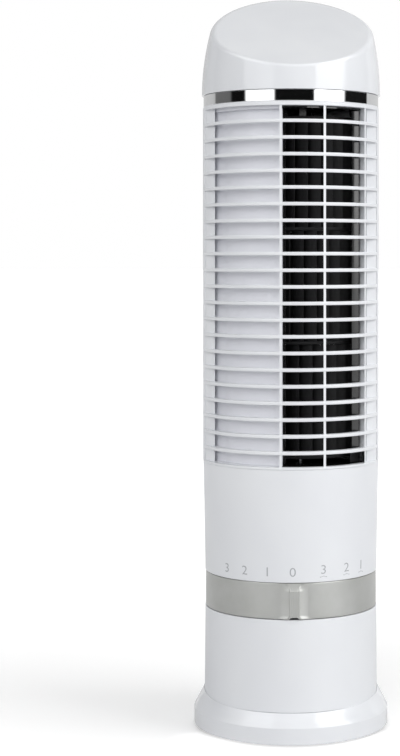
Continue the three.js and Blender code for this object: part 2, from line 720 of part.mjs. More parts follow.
function oscillationMotor() {
  const middle = gearMotorMiddle;
  const top = gearMotorBottom + GEAR_MOTOR_HEIGHT;
  const can = rod(gearMotorRadius, gearMotorBottom, top, CAN_SIDES, 0, middle);
  const radius = GEAR_MOTOR_EAR_RADIUS;
  const earTop = gearMotorBottom + GEAR_MOTOR_EAR_THICKNESS;
  const bar = block(-earReach, earReach, middle - radius, middle + radius, gearMotorBottom, earTop);
  const ends = earHoles.map(({ x, y }) => rod(radius, gearMotorBottom, earTop, BORE_SIDES, x, y));
  const low = gearMotorBottom - OVERSHOOT;
  const holes = earHoles.map(({ x, y }) => rod(screwHole, low, earTop + OVERSHOOT, SCREW_SIDES, x, y));
  const boreRadius = OSCILLATION_SHAFT_RADIUS + SHAFT_GAP;
  const boreTop = gearMotorBottom + GEAR_MOTOR_HEIGHT / 2;
  const bore = rod(boreRadius, low, boreTop, BORE_SIDES, 0, oscillationShaftOffset);
  return cut(join(can, bar, ...ends), ...holes, bore);
}

// The crank turns about its own origin. Its pin runs above the radial slot between the foot's rails.
function oscillationCrank() {
  const shaftTop = gearMotorBottom + GEAR_MOTOR_HEIGHT / 2 - SEAT_GAP;
  const shaft = rod(OSCILLATION_SHAFT_RADIUS, crankBottom + OVERLAP, shaftTop);
  const boss = rod(CRANK_BOSS_RADIUS, crankBottom, crankTop);
  const half = CRANK_EYE_RADIUS;
  const web = block(-half, half, 0, CRANK_THROW, crankBottom, crankTop);
  const eye = rod(CRANK_EYE_RADIUS, crankBottom, crankTop, BORE_SIDES, 0, CRANK_THROW);
  const pinBottom = crankBottom - CRANK_PIN_LENGTH;
  const pin = rod(CRANK_PIN_RADIUS, pinBottom, crankTop - OVERLAP, BORE_SIDES, 0, CRANK_THROW);
  return join(shaft, boss, web, eye, pin);
}

function buildColumn() {
  const column = new THREE.Group();
  place(column, 'column_shell', columnShell(), satinWhite);
  place(column, 'turntable', turntable(), structureGrey);
  turntableBosses.forEach(({ x, y }, i) => {
    const length = bossTop - SCREW_TIP_ROOM - turntableScrewSeat;
    placeScrew(column, `turntable_screw_${i + 1}`, length, [x, y, turntableScrewSeat]);
  });
  place(column, 'oscillation_motor', oscillationMotor(), steel);
  const earSeat = gearMotorBottom + GEAR_MOTOR_EAR_THICKNESS + SEAT_GAP;
  earHoles.forEach(({ x, y }, i) => {
    const length = earSeat - turntableBottom - SEAT_GAP;
    placeScrew(column, `oscillation_motor_screw_${i + 1}`, length, [x, y, earSeat], Math.PI);
  });
  place(column, 'oscillation_crank', oscillationCrank(), naturalWhite).position.y = oscillationShaftOffset;
  return column;
}

// ---------------------------------------------------------------- control ring, gear and switch

// Outline of an involute gear, with one tooth centred on +Y.
// Extra widens each tooth at the pitch circle.
function gearOutline(teeth, addendum, dedendum, extra) {
  const pitchRadius = (gearModule * teeth) / 2;
  const baseRadius = pitchRadius * Math.cos(radians(GEAR_PRESSURE_ANGLE));
  const involute = (radius) => {
    const angle = Math.acos(Math.min(1, baseRadius / radius));
    return Math.tan(angle) - angle;
  };
  const atPitch = Math.PI / (2 * teeth) + extra / pitchRadius + involute(pitchRadius);
  const radii = [pitchRadius - dedendum * gearModule, pitchRadius + addendum * gearModule];
  const flank = radii.map((radius) => ({ radius, half: atPitch - involute(radius) }));
  const outline = [];
  for (let tooth = 0; tooth < teeth; tooth += 1) {
    const centre = Math.PI / 2 + (2 * Math.PI * tooth) / teeth;
    const rising = flank.map(({ radius, half }) => [radius, centre - half]);
    const falling = flank.map(({ radius, half }) => [radius, centre + half]).reverse();
    for (const [radius, angle] of [...rising, ...falling]) {
      outline.push(new THREE.Vector2(radius * Math.cos(angle), radius * Math.sin(angle)));
    }
  }
  return outline;
}

// Upright grip on the ring, narrow at the waist and flared at both ends.
function pointerGrip() {
  const half = POINTER_WIDTH / 2;
  const flared = half + POINTER_FLARE;
  const low = ringBottom + POINTER_MARGIN;
  const high = ringTop - POINTER_MARGIN;
  const waistLow = low + POINTER_FLARE_HEIGHT;
  const waistHigh = high - POINTER_FLARE_HEIGHT;
  const outline = [
    [-flared, low],
    [flared, low],
    [half, waistLow],
    [half, waistHigh],
    [flared, high],
    [-flared, high],
    [-half, waistHigh],
    [-half, waistLow],
  ];
  const front = ringRadius + POINTER_PROUD;
  const back = ringInner + RING_WALL / 2;
  const points = outline.map(([x, z]) => new THREE.Vector2(x, z));
  return prism(points, back, front).rotateX(Math.PI / 2).rotateZ(radians(DIAL_CENTRE));
}

function controlRing() {
  return join(tube(ringInner, ringRadius, ringBottom, ringTop), pointerGrip());
}

function ringCarrier() {
  const body = tube(carrierInner, carrierOuter, ringBottom + CARRIER_INSET, ringTop - CARRIER_INSET);
  const halfSector = DIAL_TRAVEL + GEAR_SECTOR_MARGIN;
  const middle = (carrierInner + carrierOuter) / 2;
  const teethInner = (gearModule * RING_GEAR_TEETH) / 2 - GEAR_ADDENDUM * gearModule;
  const from = 180 - halfSector;
  const to = 180 + halfSector;
  const blank = sector(teethInner, middle, from, to, gearBottom, gearTop, GEAR_BLANK_STEPS);
  const reach = GEAR_ADDENDUM + GEAR_TOOTH_ROOM;
  const outline = gearOutline(RING_GEAR_TEETH, GEAR_DEDENDUM, reach, GEAR_BACKLASH);
  return join(body, cut(blank, prism(outline, gearBottom - OVERSHOOT, gearTop + OVERSHOOT)));
}

function innerSleeve() {
  const body = tube(sleeveInner, sleeveOuter, sleeveBottom, sleeveTop);
  const halfWindow = DIAL_TRAVEL * 2 + GEAR_SECTOR_MARGIN + SLEEVE_WINDOW_MARGIN;
  const from = 180 - halfWindow;
  const to = 180 + halfWindow;
  const low = gearBottom - SEAT_GAP * 2;
  const high = gearTop + SEAT_GAP * 2;
  const inside = sleeveInner - OVERSHOOT;
  return cut(body, sector(inside, sleeveOuter + OVERSHOOT, from, to, low, high, WINDOW_STEPS));
}

function switchPlate() {
  const bottom = switchTop + SEAT_GAP;
  const top = bottom + SWITCH_PLATE_THICKNESS;
  const plate = rod(sleeveInner - SEAT_GAP, bottom, top, HULL_SIDES);
  const [low, high] = [bottom - OVERSHOOT, top + OVERSHOOT];
  const bush = rod(SWITCH_BUSH_RADIUS + SEAT_GAP, low, high, BORE_SIDES, 0, gearAxisOffset);
  const passage = rod(LEAD_HOLE_RADIUS, low, high, SCREW_SIDES, LEAD_HOLE_X, LEAD_HOLE_Y);
  return cut(plate, bush, passage);
}

// Switch body with its threaded bush, in the frame of the switch shaft's axis.
function rotarySwitch() {
  const half = SWITCH_SIZE / 2;
  const bushTop = gearBottom - SEAT_GAP * 2;
  const body = block(-half, half, -half, half, switchBottom, switchTop);
  const bush = rod(SWITCH_BUSH_RADIUS, switchTop - OVERLAP, bushTop);
  const boreRadius = SWITCH_SHAFT_RADIUS + SHAFT_GAP;
  const bore = rod(boreRadius, switchBottom + SWITCH_FLOOR, bushTop + OVERSHOOT);
  return cut(join(body, bush), bore);
}

function switchPinion() {
  const outline = gearOutline(PINION_TEETH, GEAR_ADDENDUM, GEAR_DEDENDUM, -GEAR_BACKLASH);
  const shaftBottom = switchBottom + SWITCH_FLOOR + SEAT_GAP;
  const shaft = rod(SWITCH_SHAFT_RADIUS, shaftBottom, gearBottom + OVERLAP);
  return join(prism(outline, gearBottom, gearTop), shaft);
}

// A lead is a round section swept along a smooth curve.
function lead(points) {
  const path = new THREE.CatmullRomCurve3(points.map((point) => new THREE.Vector3(...point)));
  const section = new THREE.Shape(ringOf(LEAD_SIDES, LEAD_RADIUS));
  return join(new THREE.ExtrudeGeometry(section, { extrudePath: path, steps: LEAD_STEPS }));
}

function buildRing() {
  const ring = new THREE.Group();
  place(ring, 'control_ring', controlRing(), silver);
  place(ring, 'ring_carrier', ringCarrier(), gripBlack);
  return ring;
}

function buildSwitch() {
  const group = new THREE.Group();
  place(group, 'inner_sleeve', innerSleeve(), structureGrey);
  place(group, 'switch_plate', switchPlate(), structureGrey);
  place(group, 'rotary_switch', rotarySwitch(), gripBlack).position.y = gearAxisOffset;
  place(group, 'switch_pinion', switchPinion(), naturalWhite).position.y = gearAxisOffset;
  const switchFront = gearAxisOffset - SWITCH_SIZE / 2;
  const terminal = switchBottom - LEAD_RADIUS - SEAT_GAP;
  const supply = [
    [0, 0, postTop + 1],
    [2, 2, postTop + 7],
    [7, switchFront - 4, switchBottom - 12],
    [7, switchFront + 2, terminal - 3],
    [5, switchFront + 5, terminal],
  ];
  place(group, 'supply_lead', lead(supply), leadGrey);
  const coilBottom = statorBottom - COIL_WALL - SEAT_GAP * 2;
  const motorLead = [
    [-8, switchFront + 3, terminal],
    [-16, switchFront - 3, terminal - 2],
    [LEAD_HOLE_X, LEAD_HOLE_Y, switchTop - 6],
    [LEAD_HOLE_X, LEAD_HOLE_Y, switchTop + 6],
    [LEAD_HOLE_X, LEAD_HOLE_Y + 3, coilBottom - 6],
    [LEAD_HOLE_X, LEAD_HOLE_Y + 4, coilBottom],
  ];
  place(group, 'motor_lead', lead(motorLead), leadGrey);
  return group;
}

// ---------------------------------------------------------------- upper body and motor

function bodyShell() {
  const bottomOuter = BODY_RADIUS - GRILLE_TO_SHELL_BOTTOM;
  const topOuter = BODY_RADIUS - GRILLE_TO_SHELL_TOP;
  const lipTop = ductFloorBottom - SEAT_GAP;
  const seatInner = ductRadius - SHELL_SEAT_WIDTH;
  const lowLip = sleeveTop + SEAT_GAP;
  return turned(
    [
      [collarInner, bodyBottom],
      [bottomOuter, bodyBottom],
      [topOuter, bodyTop],
      [topOuter - SHELL_WALL, bodyTop],
      [topOuter - SHELL_WALL, lipTop],
      [seatInner, lipTop],
      [seatInner, lipTop - COLLAR_LIP],
      [topOuter - SHELL_WALL, lipTop - COLLAR_LIP - COLLAR_SLOPE],
      [bottomOuter - SHELL_WALL, lowLip + COLLAR_LIP + COLLAR_SLOPE],
      [lipInner, lowLip + COLLAR_LIP],
      [lipInner, lowLip],
      [collarInner, lowLip],
    ],
    HULL_SIDES,
  );
}

// Motor pieces are in the frame of the wheel's axis, with height 0 under the lamination stack.
const bracketScrews = [-1, 1].map((side) => new THREE.Vector2(0, side * BRACKET_SCREW_REACH));
const coilHalf = STATOR_WINDOW_DEPTH / 2 - COIL_END_GAP;
const coilReach = Math.sqrt((columnInner - COIL_TO_SHELL) ** 2 - (coilHalf + WHEEL_OFFSET_Y) ** 2);
const statorLeft = COIL_WALL + SEAT_GAP - WHEEL_OFFSET_X - coilReach;
const statorRight = ROTOR_RADIUS + ROTOR_AIR_GAP + STATOR_YOKE;
const windowRight = -(ROTOR_RADIUS + ROTOR_AIR_GAP + STATOR_POLE);
const windowLeft = windowRight - STATOR_WINDOW_WIDTH;
const upperBracketBottom = STATOR_HEIGHT + SEAT_GAP;
const lowerBracketBottom = -SEAT_GAP - BRACKET_THICKNESS;

function stator() {
  const half = STATOR_DEPTH / 2;
  const halfWindow = STATOR_WINDOW_DEPTH / 2;
  const stack = block(statorLeft, statorRight, -half, half, 0, STATOR_HEIGHT);
  const [low, high] = [-OVERSHOOT, STATOR_HEIGHT + OVERSHOOT];
  const opening = block(windowLeft, windowRight, -halfWindow, halfWindow, low, high);
  const bore = rod(ROTOR_RADIUS + ROTOR_AIR_GAP, low, high, CAN_SIDES);
  const holes = bracketScrews.map(({ x, y }) => rod(screwHole, low, high, SCREW_SIDES, x, y));
  return cut(stack, opening, bore, ...holes);
}

function motorCoil() {
  const left = statorLeft - SEAT_GAP;
  const right = windowLeft + SEAT_GAP;
  const low = -SEAT_GAP;
  const high = STATOR_HEIGHT + SEAT_GAP;
  const end = coilHalf + OVERSHOOT;
  const wall = COIL_WALL;
  const winding = block(left - wall, right + wall, -coilHalf, coilHalf, low - wall, high + wall);
  return cut(winding, block(left, right, -end, end, low, high));
}

function motorBracket() {
  const reach = BRACKET_SCREW_REACH + BRACKET_END;
  const half = BRACKET_WIDTH / 2;
  const bar = block(-half, half, -reach, reach, 0, BRACKET_THICKNESS);
  const hubTop = BRACKET_THICKNESS + BRACKET_HUB_HEIGHT;
  const hub = rod(BRACKET_HUB_RADIUS, 0, hubTop);
  const seat = rod(BEARING_RADIUS + SEAT_GAP, BEARING_FLOOR, hubTop + OVERSHOOT);
  const passage = rod(WHEEL_SHAFT_RADIUS + SHAFT_GAP * 2, -OVERSHOOT, BEARING_FLOOR + OVERSHOOT);
  const barTop = BRACKET_THICKNESS + OVERSHOOT;
  const holes = bracketScrews.map(({ x, y }) => rod(screwHole, -OVERSHOOT, barTop, SCREW_SIDES, x, y));
  return cut(join(bar, hub), seat, passage, ...holes);
}

function bearing() {
  return tube(WHEEL_SHAFT_RADIUS + SHAFT_GAP, BEARING_RADIUS, 0, BEARING_HEIGHT, BORE_SIDES);
}

function buildMotor() {
  const motor = new THREE.Group();
  motor.position.set(WHEEL_OFFSET_X, WHEEL_OFFSET_Y, statorBottom);
  place(motor, 'motor_stator', stator(), lamination);
  place(motor, 'motor_coil', motorCoil(), copper);
  const bearingSeat = BEARING_FLOOR + SEAT_GAP;
  place(motor, 'motor_bracket_upper', motorBracket(), steel).position.z = upperBracketBottom;
  place(motor, 'motor_bearing_upper', bearing(), bronze).position.z = upperBracketBottom + bearingSeat;
  const lower = new THREE.Group();
  lower.rotation.x = Math.PI;
  lower.position.z = -SEAT_GAP;
  place(lower, 'motor_bracket_lower', motorBracket(), steel);
  place(lower, 'motor_bearing_lower', bearing(), bronze).position.z = bearingSeat;
  motor.add(lower);
  const seat = lowerBracketBottom - SEAT_GAP;
  const length = upperBracketBottom + BRACKET_THICKNESS + MOTOR_BOSS_HEIGHT - SCREW_TIP_ROOM - seat;
  bracketScrews.forEach(({ x, y }, i) => {
    placeScrew(motor, `motor_screw_${i + 1}`, length, [x, y, seat]);
  });
  return motor;
}

// ---------------------------------------------------------------- grille, rear housing and duct

function grilleSector(inner, outer, from, to, bottom, top) {
  const steps = Math.max(1, Math.round((GRILLE_STEPS * (to - from)) / (2 * GRILLE_HALF_ANGLE)));
  return sector(inner, outer, from, to, bottom, top, steps);
}

function frontGrille() {
  const half = GRILLE_HALF_ANGLE;
  const louvres = Array.from({ length: LOUVRE_COUNT }, (_, i) => {
    const bottom = firstLouvre + i * LOUVRE_PITCH - LOUVRE_THICKNESS / 2;
    return grilleSector(grilleInner, BODY_RADIUS, -half, half, bottom, bottom + LOUVRE_THICKNESS);
  });
  const flanges = [
    [grilleBottom, grilleBottom + GRILLE_BOTTOM_FLANGE],
    [grilleTop - GRILLE_TOP_FLANGE, grilleTop],
  ].map(([bottom, top]) => grilleSector(grilleInner, BODY_RADIUS, -half, half, bottom, top));
  const halfRib = THREE.MathUtils.radToDeg(GRILLE_RIB_WIDTH / 2 / BODY_RADIUS);
  const ribInner = grilleInner + GRILLE_RIB_STEP;
  const ribOuter = BODY_RADIUS - GRILLE_RIB_RECESS;
  const ribs = GRILLE_RIB_AZIMUTHS.map((azimuth) =>
    sector(ribInner, ribOuter, azimuth - halfRib, azimuth + halfRib, grilleBottom, grilleTop, 1),
  );
  const postInner = grilleInner + GRILLE_POST_STEP;
  const postOuter = BODY_RADIUS - GRILLE_POST_RECESS;
  const posts = [-1, 1].map((side) => {
    const ends = [side * GRILLE_POST_INNER, side * half].sort((a, b) => a - b);
    return sector(postInner, postOuter, ends[0], ends[1], grilleBottom, grilleTop, 1);
  });
  return join(...flanges, ...posts, ...ribs, ...louvres);
}

const rearScrewHeights = [ductFloorTop + REAR_SCREW_LEVEL, ductCeilingBottom - REAR_SCREW_LEVEL];
const rearWallInner = Math.sqrt(housingInner ** 2 - REAR_SCREW_SPREAD ** 2);
const rearBossEnd = rearWallInner - REAR_BOSS_LENGTH;
const rearScrewSeat = rearWallInner - REAR_SCREW_RECESS;
const rearScrewSpots = rearScrewHeights.flatMap((z) => [
  [-REAR_SCREW_SPREAD, z],
  [REAR_SCREW_SPREAD, z],
]);

function alongY(radius, from, to, x, z) {
  return rod(radius, from, to, SCREW_SIDES).rotateX(-Math.PI / 2).translate(x, 0, z);
}

// Three rows of upright intake slots, one slot to a facet.
function rearHousing() {
  const from = GRILLE_HALF_ANGLE + HOUSING_GAP_ANGLE;
  const shell = sector(housingInner, housingOuter, from, 360 - from, grilleBottom, grilleTop, REAR_FACETS);
  const bosses = rearScrewSpots.map(([x, z]) =>
    alongY(REAR_BOSS_RADIUS, rearBossEnd, rearWallInner + OVERLAP, x, z),
  );
  const outside = housingOuter + OVERSHOOT;
  const pockets = rearScrewSpots.map(([x, z]) =>
    alongY(SCREW_HEAD_RADIUS + SEAT_GAP, rearScrewSeat - SEAT_GAP, outside, x, z),
  );
  const holes = rearScrewSpots.map(([x, z]) => alongY(screwHole, rearBossEnd - OVERSHOOT, outside, x, z));
  const pitch = (360 - 2 * from) / REAR_FACETS;
  const half = REAR_SLOT_WIDTH / 2;
  const span = grilleTop - grilleBottom - 2 * REAR_SLOT_MARGIN;
  const slotHeight = (span - REAR_SLOT_BAR * (REAR_SLOT_ROWS - 1)) / REAR_SLOT_ROWS;
  const slots = [];
  for (let row = 0; row < REAR_SLOT_ROWS; row += 1) {
    const low = grilleBottom + REAR_SLOT_MARGIN + row * (slotHeight + REAR_SLOT_BAR);
    for (let column = 0; column < REAR_SLOT_COUNT; column += 1) {
      const turn = (column - (REAR_SLOT_COUNT - 1) / 2) * pitch;
      const slot = block(-half, half, housingInner - OVERSHOOT, outside, low, low + slotHeight);
      slots.push(slot.rotateZ(radians(turn)));
    }
  }
  return cut(join(shell, ...bosses), ...pockets, ...holes, ...slots);
}

const topBearingBottom = ductCeilingTop - BEARING_ROOF - SEAT_GAP - BEARING_HEIGHT;
const ductBottom = ductFloorTop + SEAT_GAP;
const ductTop = ductCeilingBottom - SEAT_GAP;
const wheelShift = new THREE.Vector2(WHEEL_OFFSET_X, WHEEL_OFFSET_Y);

// Curved white panel behind the left half of the louvres.
function ductPanel() {
  const outer = ductRadius - DUCT_PANEL_INSET;
  const to = GRILLE_RIB_AZIMUTHS[0];
  return sector(outer - DUCT_WALL, outer, DUCT_PANEL_OUTER, to, ductBottom, ductTop, PANEL_STEPS);
}

// A wall that follows the wheel at a changing distance. Angles are about the wheel's axis.
function wheelWall(from, to, clearanceFrom, clearanceTo, thickness, steps) {
  const along = Array.from({ length: steps + 1 }, (_, i) => i / steps);
  const spot = (t, extra) => {
    const radius = wheelRadius + clearanceFrom + (clearanceTo - clearanceFrom) * t + extra;
    return polar(radius, from + (to - from) * t).add(wheelShift);
  };
  const outside = along.map((t) => spot(t, thickness));
  const inside = along.map((t) => spot(t, 0)).reverse();
  return [...outside, ...inside];
}

function scrollWall() {
  const clearances = [SCROLL_CLEARANCE_START, SCROLL_CLEARANCE_END];
  const outline = wheelWall(SCROLL_START, SCROLL_END, ...clearances, DUCT_WALL, SCROLL_STEPS);
  return prism(outline, ductBottom, ductTop);
}

// The tongue hugs the wheel and closes the gap to the white panel's edge.
function vortexTongue() {
  const edge = GRILLE_RIB_AZIMUTHS[0];
  const lipOuter = ductRadius - DUCT_PANEL_INSET - DUCT_WALL - SEAT_GAP;
  const near = TONGUE_CLEARANCE;
  const wall = wheelWall(TONGUE_FROM, TONGUE_TO, near, near, DUCT_WALL, TONGUE_STEPS);
  const tip = polar(wheelRadius + near, TONGUE_TO).add(wheelShift);
  const tipOuter = polar(wheelRadius + near + DUCT_WALL, TONGUE_TO).add(wheelShift);
  const lip = [
    tip,
    polar(lipOuter, edge),
    polar(lipOuter, edge - TONGUE_LIP_ANGLE),
    tipOuter.sub(new THREE.Vector2(TONGUE_LIP_WIDTH, 0)),
  ];
  return join(prism(wall, ductBottom, ductTop), prism(lip, ductBottom, ductTop));
}

function rearBosses(height, low, high) {
  const half = REAR_BLOCK_WIDTH / 2;
  const back = rearBossEnd - SEAT_GAP;
  const bottom = Math.min(low, height - REAR_BLOCK_REACH);
  const top = Math.max(high, height + REAR_BLOCK_REACH);
  return [-REAR_SCREW_SPREAD, REAR_SCREW_SPREAD].map((x) =>
    block(x - half, x + half, back - REAR_BLOCK_DEPTH, back, bottom, top),
  );
}

function rearPilots(height) {
  return [-1, 1].map((side) => alongY(screwHole, 0, BODY_RADIUS, side * REAR_SCREW_SPREAD, height));
}

// A rod on the wheel's axis.
function wheelRod(radius, bottom, top) {
  return rod(radius, bottom, top, BORE_SIDES, WHEEL_OFFSET_X, WHEEL_OFFSET_Y);
}

function ductFloor() {
  const disc = rod(ductRadius, ductFloorBottom, ductFloorTop, HULL_SIDES);
  const height = rearScrewHeights[0];
  const bosses = rearBosses(height, ductFloorTop - OVERLAP, 0);
  const spots = bracketScrews.map((spot) => spot.clone().add(wheelShift));
  const postBottom = ductFloorBottom - MOTOR_BOSS_HEIGHT;
  const postTop = ductFloorBottom + OVERLAP;
  const posts = spots.map(({ x, y }) => rod(BOSS_RADIUS, postBottom, postTop, SCREW_SIDES, x, y));
  const pilots = spots.map(({ x, y }) => rod(screwHole, 0, ductFloorBottom - OVERLAP, SCREW_SIDES, x, y));
  const passage = wheelRod(WHEEL_SHAFT_RADIUS + SHAFT_PASSAGE, 0, ductFloorTop + OVERSHOOT);
  return cut(join(disc, ...bosses, ...posts), ...pilots, passage, ...rearPilots(height));
}

function ductCeiling() {
  const disc = rod(ductRadius, ductCeilingBottom, ductCeilingTop, HULL_SIDES);
  const height = rearScrewHeights[1];
  const bosses = rearBosses(height, ductCeilingTop, ductCeilingBottom + OVERLAP);
  const hub = wheelRod(BEARING_RADIUS + BEARING_HUB_WALL, topBearingBottom, ductCeilingTop);
  const roof = ductCeilingTop - BEARING_ROOF;
  const seat = wheelRod(BEARING_RADIUS + SEAT_GAP, topBearingBottom - OVERSHOOT, roof);
  return cut(join(disc, ...bosses, hub), seat, ...rearPilots(height));
}

function buildDuct() {
  const duct = new THREE.Group();
  place(duct, 'body_shell', bodyShell(), satinWhite);
  place(duct, 'duct_floor', ductFloor(), gripBlack);
  place(duct, 'duct_ceiling', ductCeiling(), gripBlack);
  place(duct, 'duct_panel', ductPanel(), satinWhite);
  place(duct, 'scroll_wall', scrollWall(), gripBlack);
  place(duct, 'vortex_tongue', vortexTongue(), gripBlack);
  place(duct, 'front_grille', frontGrille(), satinWhite);
  place(duct, 'rear_housing', rearHousing(), satinWhite);
  rearScrewSpots.forEach(([x, z], i) => {
    const length = rearScrewSeat - rearBossEnd + REAR_SCREW_GRIP;
    placeScrew(duct, `rear_screw_${i + 1}`, length, [x, rearScrewSeat, z], Math.PI / 2);
  });
  const topBearing = place(duct, 'wheel_bearing', bearing(), bronze);
  topBearing.position.set(WHEEL_OFFSET_X, WHEEL_OFFSET_Y, topBearingBottom);
  return duct;
}

// ---------------------------------------------------------------- cross-flow wheel

// Outline of one forward-leaning blade, with its root on +X.
function bladeOutline() {
  const tipRadius = wheelRadius - BLADE_INSET;
  const sweep = radians(BLADE_SWEEP);
  const root = new THREE.Vector2(tipRadius - BLADE_DEPTH, 0);
  const tip = new THREE.Vector2(tipRadius * Math.cos(sweep), tipRadius * Math.sin(sweep));
  const along = tip.clone().sub(root).setLength(BLADE_THICKNESS / 2);
  const side = new THREE.Vector2(along.y, -along.x);
  return [root.clone().add(side), tip.clone().add(side), tip.clone().sub(side), root.clone().sub(side)];
}

function wheelSegment(height, closed) {
  const disc = rod(wheelRadius, 0, WHEEL_DISC, HULL_SIDES);
  const bladeTop = closed ? height - WHEEL_DISC / 2 : height;
  const blades = Array.from({ length: BLADE_COUNT }, (_, i) =>
    prism(bladeOutline(), WHEEL_DISC / 2, bladeTop).rotateZ((2 * Math.PI * i) / BLADE_COUNT),
  );
  if (!closed) {
    return join(disc, ...blades);
  }
  const lid = rod(wheelRadius, height - WHEEL_DISC, height, HULL_SIDES);
  const stubTop = height + WHEEL_CEILING_CLEARANCE + DUCT_PLATE - BEARING_ROOF - SEAT_GAP - SHAFT_HEADROOM;
  return join(disc, ...blades, lid, rod(WHEEL_SHAFT_RADIUS, height - OVERLAP, stubTop));
}

// The wheel's pieces are in the frame of its axis, with height 0 at the underside of the lowest disc.
function buildWheel() {
  const wheel = new THREE.Group();
  wheel.position.set(WHEEL_OFFSET_X, WHEEL_OFFSET_Y, wheelBottom);
  const names = ['impeller_lower', 'impeller_middle', 'impeller_upper'];
  for (let i = 0; i < WHEEL_SEGMENTS; i += 1) {
    const top = i === WHEEL_SEGMENTS - 1;
    const height = segmentPitch - (top ? 0 : SEAT_GAP);
    const name = names[i] ?? `impeller_segment_${i + 1}`;
    let geometry = wheelSegment(height, top);
    if (i === 0) {
      geometry = cut(geometry, rod(WHEEL_HUB_RADIUS + SEAT_GAP, -OVERSHOOT, WHEEL_DISC + OVERSHOOT));
    }
    const segment = place(wheel, name, geometry, gripBlack);
    segment.position.z = i * segmentPitch;
    segment.rotation.z = (2 * Math.PI * i) / (BLADE_COUNT * WHEEL_SEGMENTS);
  }
  const hub = tube(WHEEL_SHAFT_RADIUS + SEAT_GAP, WHEEL_HUB_RADIUS, 0, WHEEL_HUB_HEIGHT, BORE_SIDES);
  place(wheel, 'impeller_hub', hub, rubber);
  const shaftBottom = statorBottom - BRACKET_THICKNESS - BRACKET_HUB_HEIGHT - wheelBottom;
  place(wheel, 'impeller_shaft', rod(WHEEL_SHAFT_RADIUS, shaftBottom, WHEEL_HUB_HEIGHT - SEAT_GAP), steel);
  const rotorBottom = statorBottom - wheelBottom + SEAT_GAP;
  const rotorTop = rotorBottom + STATOR_HEIGHT - SEAT_GAP * 2;
  const rotorBore = WHEEL_SHAFT_RADIUS + SEAT_GAP;
  const rotor = tube(rotorBore, ROTOR_RADIUS, rotorBottom, rotorTop, CAN_SIDES);
  place(wheel, 'motor_rotor', rotor, lamination);
  return wheel;
}

// ---------------------------------------------------------------- chrome band and cap

// Outline of the cap at one azimuth: up the bulged side, round the edge, to the slanted top's centre.
function capOutline(azimuth, inset, bottom, edge, sideSteps) {
  const radius = BODY_RADIUS + CAP_OVERHANG - inset;
  const slope = Math.tan(radians(CAP_TILT));
  const frontRadius = BODY_RADIUS + CAP_OVERHANG - CAP_FRONT_HEIGHT ** 2 / (2 * CAP_BULGE_RADIUS);
  const drop = inset / Math.cos(radians(CAP_TILT));
  const centreHeight = capBottom + CAP_FRONT_HEIGHT + slope * frontRadius - drop;
  const rise = slope * Math.cos(radians(azimuth - CAP_TURN));
  const a = -rise / (2 * CAP_BULGE_RADIUS);
  const c = capBottom - centreHeight + rise * radius;
  const height = (-2 * c) / (1 + Math.sqrt(1 - 4 * a * c));
  const side = (s) => [radius - (s * s) / (2 * CAP_BULGE_RADIUS), capBottom + s];
  const corner = side(height);
  const low = side(height - edge);
  const back = edge / Math.hypot(1, rise);
  const high = [corner[0] - back, corner[1] + back * rise];
  const flank = Array.from({ length: sideSteps }, (_, i) => side((i / sideSteps) * (height - edge)));
  flank[0][1] = bottom;
  const rounding = [0, 0.5, 1].map((t) => {
    const weights = [(1 - t) ** 2, 2 * t * (1 - t), t * t];
    return [0, 1].map((k) => weights[0] * low[k] + weights[1] * corner[k] + weights[2] * high[k]);
  });
  return [[0, bottom], ...flank, ...rounding, [0, centreHeight]];
}

const skirtOuter = BODY_RADIUS - GRILLE_TO_BAND - SHELL_WALL - SEAT_GAP;
const skirtInner = skirtOuter - SHELL_WALL;

function topCap() {
  const outside = lofted((azimuth) => capOutline(azimuth, 0, capBottom, CAP_EDGE, 2));
  const inset = BODY_RADIUS + CAP_OVERHANG - skirtInner;
  const wall = Math.max(CAP_WALL, inset);
  const innerEdge = CAP_EDGE - CAP_WALL;
  const inside = lofted((azimuth) => capOutline(azimuth, wall, capBottom - OVERSHOOT, innerEdge, 1));
  return join(cut(outside, inside), tube(skirtInner, skirtOuter, bandBottom, capBottom + OVERLAP));
}

function buildTop() {
  const top = new THREE.Group();
  const bandOuter = BODY_RADIUS - GRILLE_TO_BAND;
  place(top, 'chrome_band', tube(bandOuter - SHELL_WALL, bandOuter, bandBottom, bandTop), chrome);
  place(top, 'top_cap', topCap(), glossWhite);
  return top;
}

// ---------------------------------------------------------------- the fan

const fan = new THREE.Group();
fan.add(buildFoot(), buildColumn(), buildRing(), buildSwitch());
fan.add(buildDuct(), buildMotor(), buildWheel(), buildTop());

export default fan;
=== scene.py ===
"""Table-top tower fan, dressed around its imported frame.

Sizes are in millimetres in the frame's axes: +Z is up, the front faces -Y and +X is to the right.
Azimuths are in degrees about Z, 0 at the front and positive towards +X. Meshes are made in metres.
What is called an edge or a round says how far a corner is softened.
"""

import logging
import math
from collections.abc import Sequence
from dataclasses import dataclass, field
from enum import Enum

import bmesh
import bpy
from mathutils import Matrix, Vector


